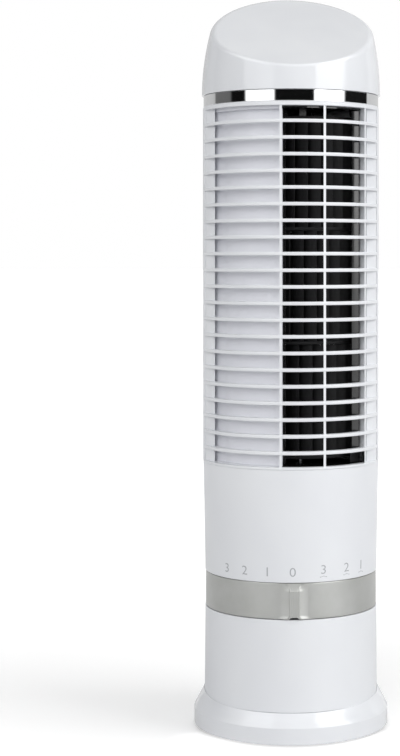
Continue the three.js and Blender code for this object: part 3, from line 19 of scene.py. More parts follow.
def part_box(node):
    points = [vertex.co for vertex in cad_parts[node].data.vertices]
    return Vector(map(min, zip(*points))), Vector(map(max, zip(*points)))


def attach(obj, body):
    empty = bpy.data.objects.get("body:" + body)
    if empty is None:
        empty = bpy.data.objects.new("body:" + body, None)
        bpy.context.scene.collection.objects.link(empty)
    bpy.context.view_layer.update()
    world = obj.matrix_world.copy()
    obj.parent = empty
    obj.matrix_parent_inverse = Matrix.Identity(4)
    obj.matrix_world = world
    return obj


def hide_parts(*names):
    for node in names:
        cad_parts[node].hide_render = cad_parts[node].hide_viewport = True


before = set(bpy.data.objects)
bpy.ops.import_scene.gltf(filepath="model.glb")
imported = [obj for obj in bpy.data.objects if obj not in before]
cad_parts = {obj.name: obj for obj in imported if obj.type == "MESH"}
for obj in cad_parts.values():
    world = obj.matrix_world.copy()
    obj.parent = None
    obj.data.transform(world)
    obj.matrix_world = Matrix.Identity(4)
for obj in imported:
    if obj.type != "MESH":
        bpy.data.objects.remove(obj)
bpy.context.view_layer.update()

MM = 0.001
WELD_DISTANCE = 0.002
SHORTEST_EDGE = 0.001
LARGEST_CORNER = 0.48  # Share of a side that one rounded corner may take.
LONGEST_MITRE = 0.3  # Keeps an inset from running away at a very sharp corner.
MIDDLE_OF_NOISE = (0.3, 0.7)
BAND_SCALE = 0.314  # The wave texture's scale that puts one band in each unit of length.
TOOL_REACH = 4.0  # How far a cutting tool stands out of the face that it opens.
TOOL_OVERLAP = 1.0  # How far it goes beyond its other faces.

Point = tuple[float, float, float]
Outline = list[tuple[float, float]]
Corner = tuple[float, float, float]

logging.basicConfig(level=logging.INFO, format="%(message)s")
log = logging.getLogger("tower_fan")


class Body(Enum):
    """Bodies of the frame that pieces ride on."""

    BASE = "base"
    TOWER = "tower"
    RING = "ring"
    WHEEL = "wheel"


class Slot(Enum):
    """Material slots of the record."""

    GLOSS_WHITE = "gloss_white"
    SATIN_WHITE = "satin_white"
    SILVER = "silver"
    CHROME = "chrome"
    BLACK_PLASTIC = "black_plastic"
    GREY_PLASTIC = "grey_plastic"
    STEEL = "steel"
    RUBBER = "rubber"


# ------------------------------------------------------------------------------ measures


def box_mm(node: str) -> tuple[Vector, Vector]:
    """Give a CAD node's box at rest, in millimetres.

    Args:
        node: Name of the node.

    Returns:
        Its lowest and its highest corner.
    """
    low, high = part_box(node)
    return low / MM, high / MM


def polar(radius: float, azimuth: float, height: float = 0.0) -> Point:
    """Give the point at a radius, azimuth and height about the fan's axis."""
    angle = math.radians(azimuth)
    return (radius * math.sin(angle), -radius * math.cos(angle), height)


def steps_between(start: float, end: float, count: int) -> list[float]:
    """List count + 1 evenly spaced values from start to end."""
    return [start + (end - start) * i / count for i in range(count + 1)]


def smooth(value: float) -> float:
    """Ease a value between 0 and 1 in and out."""
    value = min(1.0, max(0.0, value))
    return value * value * (3 - 2 * value)


def around(sides: int) -> list[float]:
    """List the azimuths of evenly spaced points all the way round."""
    return [360 * i / sides for i in range(sides)]


def bend(start: Vector, corner: Vector, end: Vector, steps: int) -> list[Vector]:
    """Draw the curve that rounds a corner between two points on its sides.

    Args:
        start: First point of the curve.
        corner: The corner.
        end: Last point of the curve.
        steps: Straight steps along the curve.

    Returns:
        The curve's points, with both ends.
    """
    points = []
    for t in steps_between(0, 1, steps):
        points.append(start * (1 - t) ** 2 + corner * (2 * t * (1 - t)) + end * t**2)
    return points


def rounded(corners: Sequence[Corner], arc_steps: int = 4, hold: float = 0.0) -> Outline:
    """Round the corners of a closed outline.

    Args:
        corners: Each corner's two coordinates and the radius that rounds it.
        arc_steps: Straight steps in each rounded corner.
        hold: Distance to one more point on either side of each arc, which keeps long faces
            flat in the light, or 0 for none.

    Returns:
        The outline's points: arc_steps + 1 for each rounded corner, 1 for each sharp one.
    """
    outline: Outline = []
    for i, (x, y, radius) in enumerate(corners):
        here = Vector((x, y))
        if radius <= 0:
            outline.append((x, y))
            continue
        before = Vector(corners[i - 1][:2]) - here
        after = Vector(corners[(i + 1) % len(corners)][:2]) - here
        half = before.angle(after) / 2
        longest = min(before.length * LARGEST_CORNER, after.length * LARGEST_CORNER)
        reach = min(radius / math.tan(half), longest)
        start = here + before.normalized() * reach
        end = here + after.normalized() * reach
        arc = bend(start, here, end, arc_steps)
        if hold > 0:
            arc.insert(0, start + before.normalized() * min(hold, before.length / 2 - reach))
            arc.append(end + after.normalized() * min(hold, after.length / 2 - reach))
        outline.extend((point.x, point.y) for point in arc)
    return outline


def sleeve(
    inner: float,
    outer: tuple[float, float],
    levels: tuple[float, float],
    edges: tuple[float, float, float],
    hold: float = 0.0,
    arc_steps: int = 4,
) -> Outline:
    """Outline the wall of an upright tube.

    Args:
        inner: Its inner radius.
        outer: Its outer radius at the bottom and at the top.
        levels: Heights of its bottom and top.
        edges: Radii of its inner edges, its lower outer edge and its upper outer edge.
        hold: Distance to one more point on either side of each rounded edge, or 0 for none.
        arc_steps: Straight steps in each rounded edge.

    Returns:
        The closed outline of radius and height.
    """
    (bottom, top), (inside, under, over) = levels, edges
    outside = [(outer[0], bottom, under), (outer[1], top, over)]
    return rounded([(inner, bottom, inside), *outside, (inner, top, inside)], arc_steps, hold)


# ------------------------------------------------------------------------------ meshes


class Shape:
    """Points and faces of one piece, gathered before they become a mesh."""

    def __init__(self) -> None:
        """Start with nothing in the piece."""
        self.points: list[Point] = []
        self.faces: list[tuple[int, ...]] = []

    def loft(self, sections: Sequence[Sequence[Point]], ring: bool = False) -> "Shape":
        """Join closed loops of equal length by faces.

        Args:
            sections: The loops, in order.
            ring: Whether the last loop joins the first. Otherwise both ends are capped.

        Returns:
            The shape itself.
        """
        start = len(self.points)
        rows = len(sections[0])
        for section in sections:
            self.points.extend(section)
        count = len(sections)
        for i in range(count if ring else count - 1):
            here = start + i * rows
            there = start + ((i + 1) % count) * rows
            for k in range(rows):
                above = (k + 1) % rows
                self.faces.append((here + k, there + k, there + above, here + above))
        if not ring:
            last = start + (count - 1) * rows
            self.faces.append(tuple(range(start, start + rows)))
            self.faces.append(tuple(range(last, last + rows)))
        return self

    def turned(self, outline: Outline, sides: int, centre: tuple[float, float] = (0, 0)) -> "Shape":
        """Turn a closed outline about a vertical axis.

        Args:
            outline: Radius and height of each corner.
            sides: Number of sides of the round.
            centre: Where the axis stands.

        Returns:
            The shape itself.
        """
        sections = [[polar(r, a, z) for r, z in outline] for a in around(sides)]
        moved = [[(x + centre[0], y + centre[1], z) for x, y, z in loop] for loop in sections]
        return self.loft(moved, ring=True)

    def swept(self, outline: Outline, start: float, end: float, steps: int) -> "Shape":
        """Sweep a closed outline of radius and height between two azimuths."""
        azimuths = steps_between(start, end, steps)
        return self.loft([[polar(r, a, z) for r, z in outline] for a in azimuths])

    def prism(self, outline: Outline, bottom: float, top: float, edge: float = 0.0) -> "Shape":
        """Raise a closed (x, y) outline from bottom to top.

        Args:
            outline: The outline's corners.
            bottom: Height of the lower face.
            top: Height of the upper face.
            edge: Size of the chamfer round both ends.

        Returns:
            The shape itself.
        """
        if edge <= 0:
            return self.loft([[(x, y, z) for x, y in outline] for z in (bottom, top)])
        inner = inset(outline, edge)
        levels = [(inner, bottom), (outline, bottom + edge), (outline, top - edge), (inner, top)]
        return self.loft([[(x, y, z) for x, y in loop] for loop, z in levels])

    def moved(self, matrix: Matrix) -> "Shape":
        """Put every point of the shape through a matrix."""
        self.points = [tuple(matrix @ Vector(point)) for point in self.points]
        return self

    def mesh(self, name: str, sharp_angle: float = 34.0) -> bpy.types.Mesh:
        """Make the mesh, in metres, with its faces outwards.

        Args:
            name: Name of the mesh.
            sharp_angle: Edges that turn more than this stay sharp.

        Returns:
            The mesh.
        """
        mesh = bpy.data.meshes.new(name)
        work = bmesh.new()
        corners = [work.verts.new(Vector(point) * MM) for point in self.points]
        for face in self.faces:
            work.faces.new([corners[i] for i in face])
        bmesh.ops.remove_doubles(work, verts=work.verts, dist=WELD_DISTANCE * MM)
        bmesh.ops.dissolve_degenerate(work, edges=work.edges, dist=SHORTEST_EDGE * MM)
        bmesh.ops.recalc_face_normals(work, faces=work.faces)
        work.to_mesh(mesh)
        work.free()
        mesh.polygons.foreach_set("use_smooth", [True] * len(mesh.polygons))
        mesh.set_sharp_from_angle(angle=math.radians(sharp_angle))
        return mesh


def inset(outline: Outline, distance: float) -> Outline:
    """Move each corner of a closed outline inwards.

    Args:
        outline: The outline's corners, in either direction.
        distance: How far each side moves.

    Returns:
        The corners of the smaller outline.
    """
    count = len(outline)
    sides = [(outline[i - 1], outline[i]) for i in range(count)]
    turn = math.copysign(1.0, sum(a[0] * b[1] - b[0] * a[1] for a, b in sides))
    result: Outline = []
    for i in range(count):
        here = Vector(outline[i])
        before = (here - Vector(outline[i - 1])).normalized()
        after = (Vector(outline[(i + 1) % count]) - here).normalized()
        normal = Vector((-before.y - after.y, before.x + after.x)) * turn
        scale = distance / max(LONGEST_MITRE, normal.length / 2) if normal.length else 0.0
        moved = here + normal.normalized() * scale if normal.length else here
        result.append((moved.x, moved.y))
    return result


def added(name: str, data: bpy.types.ID) -> bpy.types.Object:
    """Add an object to the scene.

    Args:
        name: Name of the object.
        data: Its mesh, letter, lamp or camera.

    Returns:
        The new object.
    """
    thing = bpy.data.objects.new(name, data)
    bpy.context.scene.collection.objects.link(thing)
    return thing


def evaluated(thing: bpy.types.Object) -> bpy.types.Mesh:
    """Give the mesh that an object comes to, with its modifiers."""
    graph = bpy.context.evaluated_depsgraph_get()
    return bpy.data.meshes.new_from_object(thing.evaluated_get(graph))


def apply_modifiers(piece: bpy.types.Object) -> None:
    """Bake a piece's modifiers into its mesh.

    Args:
        piece: The object with modifiers.
    """
    mesh = evaluated(piece)
    piece.modifiers.clear()
    piece.data = mesh


def place(
    mesh: bpy.types.Mesh, body: Body, finish: "Finish", replaces: Sequence[str] = ()
) -> bpy.types.Object:
    """Put a mesh into the scene as a piece of the fan.

    Args:
        mesh: The piece's mesh, whose name the piece takes.
        body: The body it rides on.
        finish: What it is made of.
        replaces: CAD nodes that it stands for.

    Returns:
        The new object.
    """
    piece = added(mesh.name, mesh)
    mesh.materials.append(finish.material())
    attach(piece, body.value)
    if replaces:
        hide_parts(*replaces)
    log.info("piece %s: %d faces on %s", piece.name, len(mesh.polygons), body.value)
    return piece


def cut_away(piece: bpy.types.Object, tool: Shape, sharp_angle: float) -> None:
    """Cut a shape out of a piece.

    Args:
        piece: The object that is cut.
        tool: The shape that is taken away.
        sharp_angle: Edges that turn more than this stay sharp.
    """
    cutter = added("cutter", tool.mesh("cutter"))
    modifier = piece.modifiers.new("cut", "BOOLEAN")
    modifier.operation = "DIFFERENCE"
    modifier.solver = "EXACT"
    modifier.object = cutter
    apply_modifiers(piece)
    bpy.data.objects.remove(cutter)
    piece.data.set_sharp_from_angle(angle=math.radians(sharp_angle))


# ------------------------------------------------------------------------------ finishes


def colour(code: str) -> tuple[float, float, float, float]:
    """Turn a hexadecimal colour into the linear values of a shader.

    Args:
        code: Six hexadecimal digits.

    Returns:
        Red, green, blue and full opacity.
    """
    parts = [int(code[i : i + 2], 16) / 255 for i in (0, 2, 4)]
    linear = [p / 12.92 if p <= 0.04045 else ((p + 0.055) / 1.055) ** 2.4 for p in parts]
    return (linear[0], linear[1], linear[2], 1.0)


def grey(level: float) -> tuple[float, float, float, float]:
    """Give a neutral colour of the given linear level."""
    return (level, level, level, 1.0)


class Nodes:
    """Node tree of a material or of the surroundings, with short calls for the nodes in use."""

    def __init__(self, tree: bpy.types.NodeTree) -> None:
        """Take the tree that the nodes go into."""
        self.tree = tree

    def feed(self, socket: bpy.types.NodeSocket, value: object) -> None:
        """Link another node's output into an input, or set the input to a plain value.

        Args:
            socket: The input.
            value: The output or the value.
        """
        if isinstance(value, bpy.types.NodeSocket):
            self.tree.links.new(value, socket)
        else:
            socket.default_value = value

    def feed_all(self, node: bpy.types.Node, inputs: dict[str, object]) -> bpy.types.Node:
        """Set or link a node's inputs by name.

        Args:
            node: The node.
            inputs: Values or outputs, by input name with underscores for spaces.

        Returns:
            The same node.
        """
        for name, value in inputs.items():
            self.feed(node.inputs[name.replace("_", " ")], value)
        return node

    def add(self, kind: str, **inputs: object) -> bpy.types.Node:
        """Add a node of the given type, without its prefix, and set or link its inputs by name."""
        return self.feed_all(self.tree.nodes.new("ShaderNode" + kind), inputs)

    def maths(self, operation: str, first: object, second: object) -> bpy.types.NodeSocket:
        """Work out one number from two.

        Args:
            operation: What is done with them.
            first: First number, plain or from another node.
            second: Second number, plain or from another node.

        Returns:
            The result.
        """
        node = self.add("Math")
        node.operation = operation
        self.feed(node.inputs[0], first)
        self.feed(node.inputs[1], second)
        return node.outputs["Value"]

    def spread(
        self,
        source: bpy.types.NodeSocket,
        before: tuple[float, float],
        after: tuple[float, float] = (0.0, 1.0),
    ) -> bpy.types.NodeSocket:
        """Spread one range of numbers over another, and hold the ends beyond it.

        Args:
            source: The number.
            before: The range that it comes from.
            after: The range that it goes to.

        Returns:
            The result.
        """
        (low, high), (bottom, top) = before, after
        node = self.add("MapRange", Value=source, From_Min=low, From_Max=high, To_Min=bottom, To_Max=top)
        return node.outputs["Result"]

    def mix(self, share: object, first: object, second: object, blend: str = "MIX") -> bpy.types.NodeSocket:
        """Mix two colours.

        Args:
            share: How much of the second there is, plain or from another node.
            first: First colour.
            second: Second colour.
            blend: How the second is laid over the first.

        Returns:
            The mixed colour.
        """
        node = self.add("Mix")
        node.data_type = "RGBA"
        node.blend_type = blend
        self.feed_all(node, {"Factor": share, "A": first, "B": second})
        return node.outputs["Result"]


class Surface(Nodes):
    """Node tree of one material, round one principled shader."""

    def __init__(self, name: str) -> None:
        """Start a material.

        Args:
            name: Name of the material.
        """
        self.material = bpy.data.materials.new(name)
        self.material.use_nodes = True
        super().__init__(self.material.node_tree)
        self.shader = next(n for n in self.tree.nodes if n.type == "BSDF_PRINCIPLED")
        self.position = self.add("TexCoord").outputs["Object"]

    def noise(self, size: float, detail: float = 3.0, stretch: Point = (1, 1, 1)) -> bpy.types.NodeSocket:
        """Add a noise.

        Args:
            size: About how many millimetres across its features are.
            detail: How many finer layers lie on the first.
            stretch: How it is squeezed along each axis.

        Returns:
            The noise's value.
        """
        source = self.add("Mapping", Vector=self.position, Scale=stretch).outputs["Vector"]
        node = self.add("TexNoise", Vector=source, Scale=1 / (size * MM), Detail=detail, Roughness=0.55)
        return node.outputs["Fac"]

    def between(self, source: bpy.types.NodeSocket, low: float, high: float) -> bpy.types.NodeSocket:
        """Spread the middle of a noise between two numbers."""
        return self.spread(source, MIDDLE_OF_NOISE, (low, high))

    def tones(self, source: bpy.types.NodeSocket, dark: str, light: str) -> bpy.types.NodeSocket:
        """Colour the middle of a noise from one tone to another.

        Args:
            source: The noise.
            dark: Tone of its low end, as a hexadecimal colour.
            light: Tone of its high end, as a hexadecimal colour.

        Returns:
            The colour.
        """
        ramp = self.add("ValToRGB", Fac=source)
        for element, spot, code in zip(ramp.color_ramp.elements, MIDDLE_OF_NOISE, (dark, light)):
            element.position, element.color = spot, colour(code)
        return ramp.outputs["Color"]

    def bump(
        self, source: bpy.types.NodeSocket, depth: float, under: bpy.types.NodeSocket | None = None
    ) -> bpy.types.NodeSocket:
        """Raise a height pattern.

        Args:
            source: The pattern.
            depth: Its depth in millimetres.
            under: Another raised pattern that it lies on, or None.

        Returns:
            The normal.
        """
        node = self.add("Bump", Height=source, Distance=depth * MM, Strength=1.0)
        if under is not None:
            self.feed(node.inputs["Normal"], under)
        return node.outputs["Normal"]

    def finished(self, **inputs: object) -> bpy.types.Material:
        """Set or link the shader's inputs by name and give the finished material."""
        self.feed_all(self.shader, inputs)
        return self.material


@dataclass(frozen=True)
class MouldedPlastic:
    """Injection-moulded plastic: faint flow mottling, uneven gloss and a fine skin."""

    name: str
    dark: str
    light: str
    gloss_low: float
    gloss_high: float
    grain_size: float = 0.35
    grain_depth: float = 0.004
    coat: float = 0.0
    shine: float = 0.5
    flow_size: float = 42.0
    flow_stretch: Point = (1, 1, 0.6)
    wave_size: float = 16.0
    wave_depth: float = 0.02
    gloss_size: float = 9.0
    coat_roughness: float = 0.04
    refraction: float = 1.49

    def build(self) -> bpy.types.Material:
        """Make the material.

        Returns:
            The material.
        """
        surface = Surface(self.name)
        flow = surface.noise(self.flow_size, 2.0, self.flow_stretch)
        gloss = surface.noise(self.gloss_size, 4.0)
        wave = surface.bump(surface.noise(self.wave_size, 1.0), self.wave_depth)
        skin = surface.noise(self.grain_size, 2.0)
        return surface.finished(
            Base_Color=surface.tones(flow, self.dark, self.light),
            Roughness=surface.between(gloss, self.gloss_low, self.gloss_high),
            Normal=surface.bump(skin, self.grain_depth, wave),
            Coat_Weight=self.coat,
            Coat_Roughness=self.coat_roughness,
            Specular_IOR_Level=self.shine,
            IOR=self.refraction,
        )


@dataclass(frozen=True)
class SatinMetal:
    """Metal or metal paint with a satin face drawn out along one direction."""

    name: str
    dark: str
    light: str
    gloss_low: float
    gloss_high: float
    metallic: float = 1.0
    stretch: Point = (1, 1, 1)
    grain_size: float = 0.25
    grain_depth: float = 0.003
    cloud_size: float = 14.0

    def build(self) -> bpy.types.Material:
        """Make the material.

        Returns:
            The material.
        """
        surface = Surface(self.name)
        grain = surface.noise(self.grain_size, 3.0, self.stretch)
        return surface.finished(
            Base_Color=surface.tones(surface.noise(self.cloud_size), self.dark, self.light),
            Roughness=surface.between(grain, self.gloss_low, self.gloss_high),
            Normal=surface.bump(grain, self.grain_depth),
            Metallic=self.metallic,
        )


@dataclass(frozen=True)
class BandedStack:
    """Layers piled along an axis: pressed laminations or turns of wire."""

    name: str
    dark: str
    light: str
    pitch: float
    roughness: float
    metallic: float
    axis: str = "Z"
    unevenness: float = 0.08
    waver: float = 0.4
    depth: float = 0.05

    def build(self) -> bpy.types.Material:
        """Make the material.

        Returns:
            The material.
        """
        surface = Surface(self.name)
        scale = BAND_SCALE / (self.pitch * MM)
        wave = surface.add("TexWave", Vector=surface.position, Scale=scale, Distortion=self.waver)
        wave.bands_direction = self.axis
        layers = wave.outputs["Fac"]
        rough, smooth_face = self.roughness + self.unevenness, self.roughness - self.unevenness
        return surface.finished(
            Base_Color=surface.tones(layers, self.dark, self.light),
            Roughness=surface.between(surface.noise(2.0), smooth_face, rough),
            Normal=surface.bump(layers, self.depth),
            Metallic=self.metallic,
        )


class Finish(Enum):
    """Every finish of the fan."""

    GLOSS_WHITE = MouldedPlastic("gloss_white_plastic", "E0E2E6", "E6E8EB", 0.07, 0.11, 0.5, 0.001)
    SATIN_WHITE = MouldedPlastic("satin_white_plastic", "DFE1E5", "E5E7EA", 0.34, 0.42, 0.3, 0.004)
    GRILLE_WHITE = MouldedPlastic("grille_white_plastic", "DFE1E5", "E6E8EB", 0.36, 0.44, 0.3, 0.004)
    GUIDE_WHITE = MouldedPlastic("air_guide_white_plastic", "DDDEE4", "E3E4E9", 0.4, 0.5, 0.4, 0.005)
    DUCT_BLACK = MouldedPlastic("duct_black_plastic", "1E1E1F", "242425", 0.1, 0.18, 0.5, 0.002, 0.5)
    WHEEL_BLACK = MouldedPlastic("wheel_black_plastic", "1E1E1F", "212122", 0.6, 0.7, 0.4, 0.003, 0.0, 0.2)
    STRUCTURE_GREY = MouldedPlastic("structure_grey_plastic", "54575C", "5E6166", 0.5, 0.62, 0.3, 0.01)
    NATURAL = MouldedPlastic("natural_acetal", "D2D0C6", "DCDAD1", 0.38, 0.5, 0.4, 0.004)
    RUBBER = MouldedPlastic("soft_rubber", "1A1B1C", "26272A", 0.72, 0.86, 0.2, 0.015)
    WIRE_JACKET = MouldedPlastic("wire_jacket", "7C7F83", "8C8F93", 0.5, 0.6, 0.3, 0.01)
    INK = MouldedPlastic("printed_scale_ink", "A2A4A8", "AEB0B4", 0.45, 0.55, 0.15, 0.002)
    SILVER = SatinMetal("satin_silver_paint", "A8A9A6", "B0B1AF", 0.3, 0.4, 0.6, (1, 1, 1), 0.18, 0.004)
    CHROME = SatinMetal("polished_chrome", "E2E3E4", "EBECED", 0.03, 0.07, 1.0, (1, 1, 3), 1.2, 0.0005)
    STEEL = SatinMetal("zinc_plated_steel", "8F9296", "A5A8AB", 0.26, 0.4, 1.0, (1, 1, 6), 0.3, 0.004)
    BRONZE = SatinMetal("sintered_bronze", "8E6A3A", "AC8449", 0.42, 0.56, 0.9, (1, 1, 1), 0.12, 0.02)
    LAMINATION = BandedStack("pressed_laminations", "4C4F52", "7A7D80", 0.5, 0.45, 0.9)
    COPPER = BandedStack("wound_copper", "6E3B18", "B06C38", 0.45, 0.38, 0.8, "Y")

    def material(self) -> bpy.types.Material:
        """Give the finish's material, which is made once."""
        return bpy.data.materials.get(self.value.name) or self.value.build()


# ------------------------------------------------------------------------------ shared by the sub-assemblies


def centre_of(low: Vector, high: Vector, height: float) -> Vector:
    """Give the middle of a box in plan, at a height."""
    return Vector(((low.x + high.x) / 2, (low.y + high.y) / 2, height))


@dataclass
class Fitted:
    """A sub-assembly that stands between the levels of one CAD node."""

    node: str = ""
    bottom: float = field(init=False)
    top: float = field(init=False)

    def __post_init__(self) -> None:
        """Take the levels from the frame."""
        low, high = box_mm(self.node)
        self.bottom, self.top = low.z, high.z


@dataclass(frozen=True)
class Screw:
    """A pan-head screw with a cross recess."""

    head_radius: float = 2.7
    head_height: float = 1.4
    head_round: float = 0.6
    crown: float = 0.75
    stem_radius: float = 1.2
    tip: float = 1.2
    tip_radius: float = 0.3
    recess_reach: float = 0.56
    recess_half: float = 0.33
    recess_depth: float = 0.8
    recess_lip: float = 0.12
    recess_taper: float = 0.55

    def shape(self, length: float) -> Shape:
        """Make the screw, which points up from its head at height 0.

        Args:
            length: Length over all.

        Returns:
            The screw's shape.
        """
        arm, half = self.head_radius * self.recess_reach, self.recess_half
        cross = []
        for quarter in range(4):
            turn = Matrix.Rotation(quarter * math.pi / 2, 2)
            cross += [turn @ Vector(p) for p in ((arm, -half), (arm, half), (half, half))]
        loops = []
        for scale, z in ((self.recess_taper, self.recess_depth), (1.0, self.recess_lip)):
            loops.append([(p.x * scale, p.y * scale, z) for p in cross])
        neck = (0.0, self.head_height, 0.0)
        corners = [(self.head_radius, 0.0, self.head_round), (self.head_radius, self.head_height, 0.0), neck]
        head = [(self.head_radius * self.crown, 0.0), *rounded(corners, 3)[:5]]
        stem = [(self.stem_radius, self.head_height), (self.stem_radius, length - self.tip)]
        bearings = [math.atan2(p.y, p.x) for p in cross]
        for radius, z in [*head, *stem, (self.tip_radius, length)]:
            loops.append([(radius * math.cos(b), radius * math.sin(b), z) for b in bearings])
        return Shape().loft(loops)


# ------------------------------------------------------------------------------ foot


@dataclass
class Foot(Fitted):
    """The round foot with its flared shoulder, its pads, its screws and the mains socket."""

    node: str = "base_foot"
    radius: float = 50.5
    wall: float = 2.2
    rim_height: float = 8.3
    rim_inner_round: float = 0.3
    rim_foot_round: float = 0.5
    shoulder_round: float = 0.7
    shoulder_height: float = 0.9
    shoulder_inset: float = 0.45
    flare_hollow: float = 0.2
    flare_power: float = 1.8
    collar_inner: float = 45.17
    collar_edge: float = 0.25
    collar_round: float = 0.08
    collar_rise: float = 6.4
    height: float = 14.7
    deck_drop: float = 0.1
    deck_round: float = 0.2
    well_radius: float = 34.5
    well_depth: float = 7.2
    floor: float = 2.0
    washer_gap: float = 0.4
    washer_seat: float = 0.3
    hold: float = 0.3
    sharp_angle: float = 28.0
    sides: int = 256
    socket_radius: float = 3.4
    socket_bore: float = 2.2
    socket_gap: float = 0.25
    socket_flange: float = 1.5
    socket_throat: float = 0.55
    bush_neck: float = 0.8
    bush_flange: float = 0.9
    bush_round: float = 0.4
    bush_step_round: float = 0.1
    bush_mouth_round: float = 0.35
    bush_sides: int = 48
    pad_dish: float = 0.25
    pad_ridge: tuple[float, float] = (0.62, 0.7)
    pad_rounds: tuple[float, float, float] = (0.3, 0.15, 0.6)
    pad_sides: int = 64

    def outline(self, azimuth: float) -> Outline:
        """Give the foot's section at one azimuth.

        Args:
            azimuth: Where the foot is cut.

        Returns:
            The closed outline of radius and height.
        """
        deck = self.bottom + self.height
        top = deck + self.collar_rise * smooth((1 - math.cos(math.radians(azimuth))) / 2)
        shoulder = self.bottom + self.rim_height
        flare_low = shoulder + self.shoulder_height
        flare_foot = self.radius - self.shoulder_inset
        collar = self.collar_inner + self.collar_edge
        flare = []
        for t in steps_between(0, 1, 8):
            hollow = self.flare_hollow * math.sin(math.pi * t**self.flare_power)
            radius = flare_foot + (collar - flare_foot) * t - hollow
            flare.append((radius, flare_low + (top - flare_low) * t, 0.0))
        washer = box_mm("thrust_washer")
        ledge = washer[0].z - self.washer_seat
        well = deck - self.well_depth
        ring = washer[1].x + self.washer_gap
        corners = [
            (self.radius - self.wall, self.bottom, self.rim_inner_round),
            (self.radius, self.bottom, self.rim_foot_round),
            (self.radius, shoulder, self.shoulder_round),
            *flare[1:-1],
            (collar, top, self.collar_round),
            (self.collar_inner, top, self.collar_round),
            (self.collar_inner, deck - self.deck_drop, 0.0),
            (ring, deck - self.deck_drop, self.deck_round),
            (ring, ledge, 0.0),
            (self.well_radius, ledge, self.deck_round),
            (self.well_radius, well, 0.0),
            (0.0, well, 0.0),
            (0.0, well - self.floor, 0.0),
            (self.well_radius + self.floor, well - self.floor, 0.0),
            (self.well_radius + self.floor, ledge - self.floor, 0.0),
            (self.collar_inner - self.wall, ledge - self.floor, 0.0),
            (self.radius - self.wall, shoulder - self.shoulder_height, 0.0),
        ]
        return rounded(corners, hold=self.hold)

    def build(self) -> None:
        """Make the foot's shell, its pads, its screws and the socket where the mains lead goes in."""
        sections = [[polar(r, a, z) for r, z in self.outline(a)] for a in around(self.sides)]
        mesh = Shape().loft(sections, ring=True).mesh("foot_shell", self.sharp_angle)
        foot = place(mesh, Body.BASE, Finish.GLOSS_WHITE, [self.node])
        self.open_socket(foot)
        for i in range(1, 5):
            self.pad(i)
        for i in range(1, 4):
            low, high = box_mm(f"base_screw_{i}")
            spot = Matrix.Translation(centre_of(low, high, low.z))
            mesh = Screw().shape(high.z - low.z).moved(spot).mesh(f"base_plate_screw_{i}")
            place(mesh, Body.BASE, Finish.STEEL, [f"base_screw_{i}"])

    def open_socket(self, foot: bpy.types.Object) -> None:
        """Cut the mains socket into the foot's back and set its rubber bush there.

        Args:
            foot: The foot's shell.
        """
        low, high = box_mm("cord_inlet")
        level = (low.z + high.z) / 2
        turn = Matrix.Translation((0, 0, level)) @ Matrix.Rotation(-math.pi / 2, 4, "X")
        wide, narrow = self.socket_radius + self.socket_gap, self.socket_radius - self.socket_throat
        seat, beyond, behind = high.y - self.socket_flange, high.y + TOOL_REACH, low.y - TOOL_OVERLAP
        flange = [(narrow, seat), (wide, seat), (wide, beyond), (0.0, beyond)]
        tool = Shape().turned([(0.0, behind), (narrow, behind), *flange], self.bush_sides).moved(turn)
        cut_away(foot, tool, self.sharp_angle)
        neck, step = self.socket_radius - self.bush_neck, high.y - self.bush_flange
        corners = [
            (self.socket_bore, low.y, 0.0),
            (neck, low.y, 0.0),
            (neck, step, 0.0),
            (self.socket_radius, step, self.bush_step_round),
            (self.socket_radius, high.y, self.bush_round),
            (self.socket_bore, high.y, self.bush_mouth_round),
        ]
        mesh = Shape().turned(rounded(corners), self.bush_sides).moved(turn).mesh("mains_socket_bush")
        place(mesh, Body.BASE, Finish.RUBBER, ["cord_inlet"])

    def pad(self, number: int) -> None:
        """Make one rubber pad with a rounded edge and a shallow dish.

        Args:
            number: Number of the pad.
        """
        low, high = box_mm(f"rubber_foot_{number}")
        radius = (high.x - low.x) / 2
        inner_ridge, outer_ridge = (radius * share for share in self.pad_ridge)
        dish_round, ridge_round, rim_round = self.pad_rounds
        corners = [
            (0.0, low.z + self.pad_dish, 0.0),
            (inner_ridge, low.z + self.pad_dish, dish_round),
            (outer_ridge, low.z, ridge_round),
            (radius, low.z, rim_round),
            (radius, high.z, 0.0),
            (0.0, high.z, 0.0),
        ]
        centre = centre_of(low, high, 0.0)
        shape = Shape().turned(rounded(corners), self.pad_sides, (centre.x, centre.y))
        mesh = shape.mesh(f"rubber_pad_{number}")
        place(mesh, Body.BASE, Finish.RUBBER, [f"rubber_foot_{number}"])


# ------------------------------------------------------------------------------ column and ring


@dataclass
class Column(Fitted):
    """The plain lower column between the foot and the control ring."""

    node: str = "column_shell"
    wall: float = 2.0
    top_radius: float = 44.7
    bottom_radius: float = 45.08
    foot_reach: float = 0.5
    inner_edge: float = 0.2
    foot_edge: float = 0.1
    top_edge: float = 0.2
    hold: float = 0.5
    sides: int = 192

    def build(self) -> None:
        """Make the column's sleeve."""
        outline = sleeve(
            self.top_radius - self.wall,
            (self.bottom_radius, self.top_radius),
            (self.bottom - self.foot_reach, self.top),
            (self.inner_edge, self.foot_edge, self.top_edge),
            self.hold,
        )
        mesh = Shape().turned(outline, self.sides).mesh("column_sleeve")
        place(mesh, Body.TOWER, Finish.SATIN_WHITE, [self.node])


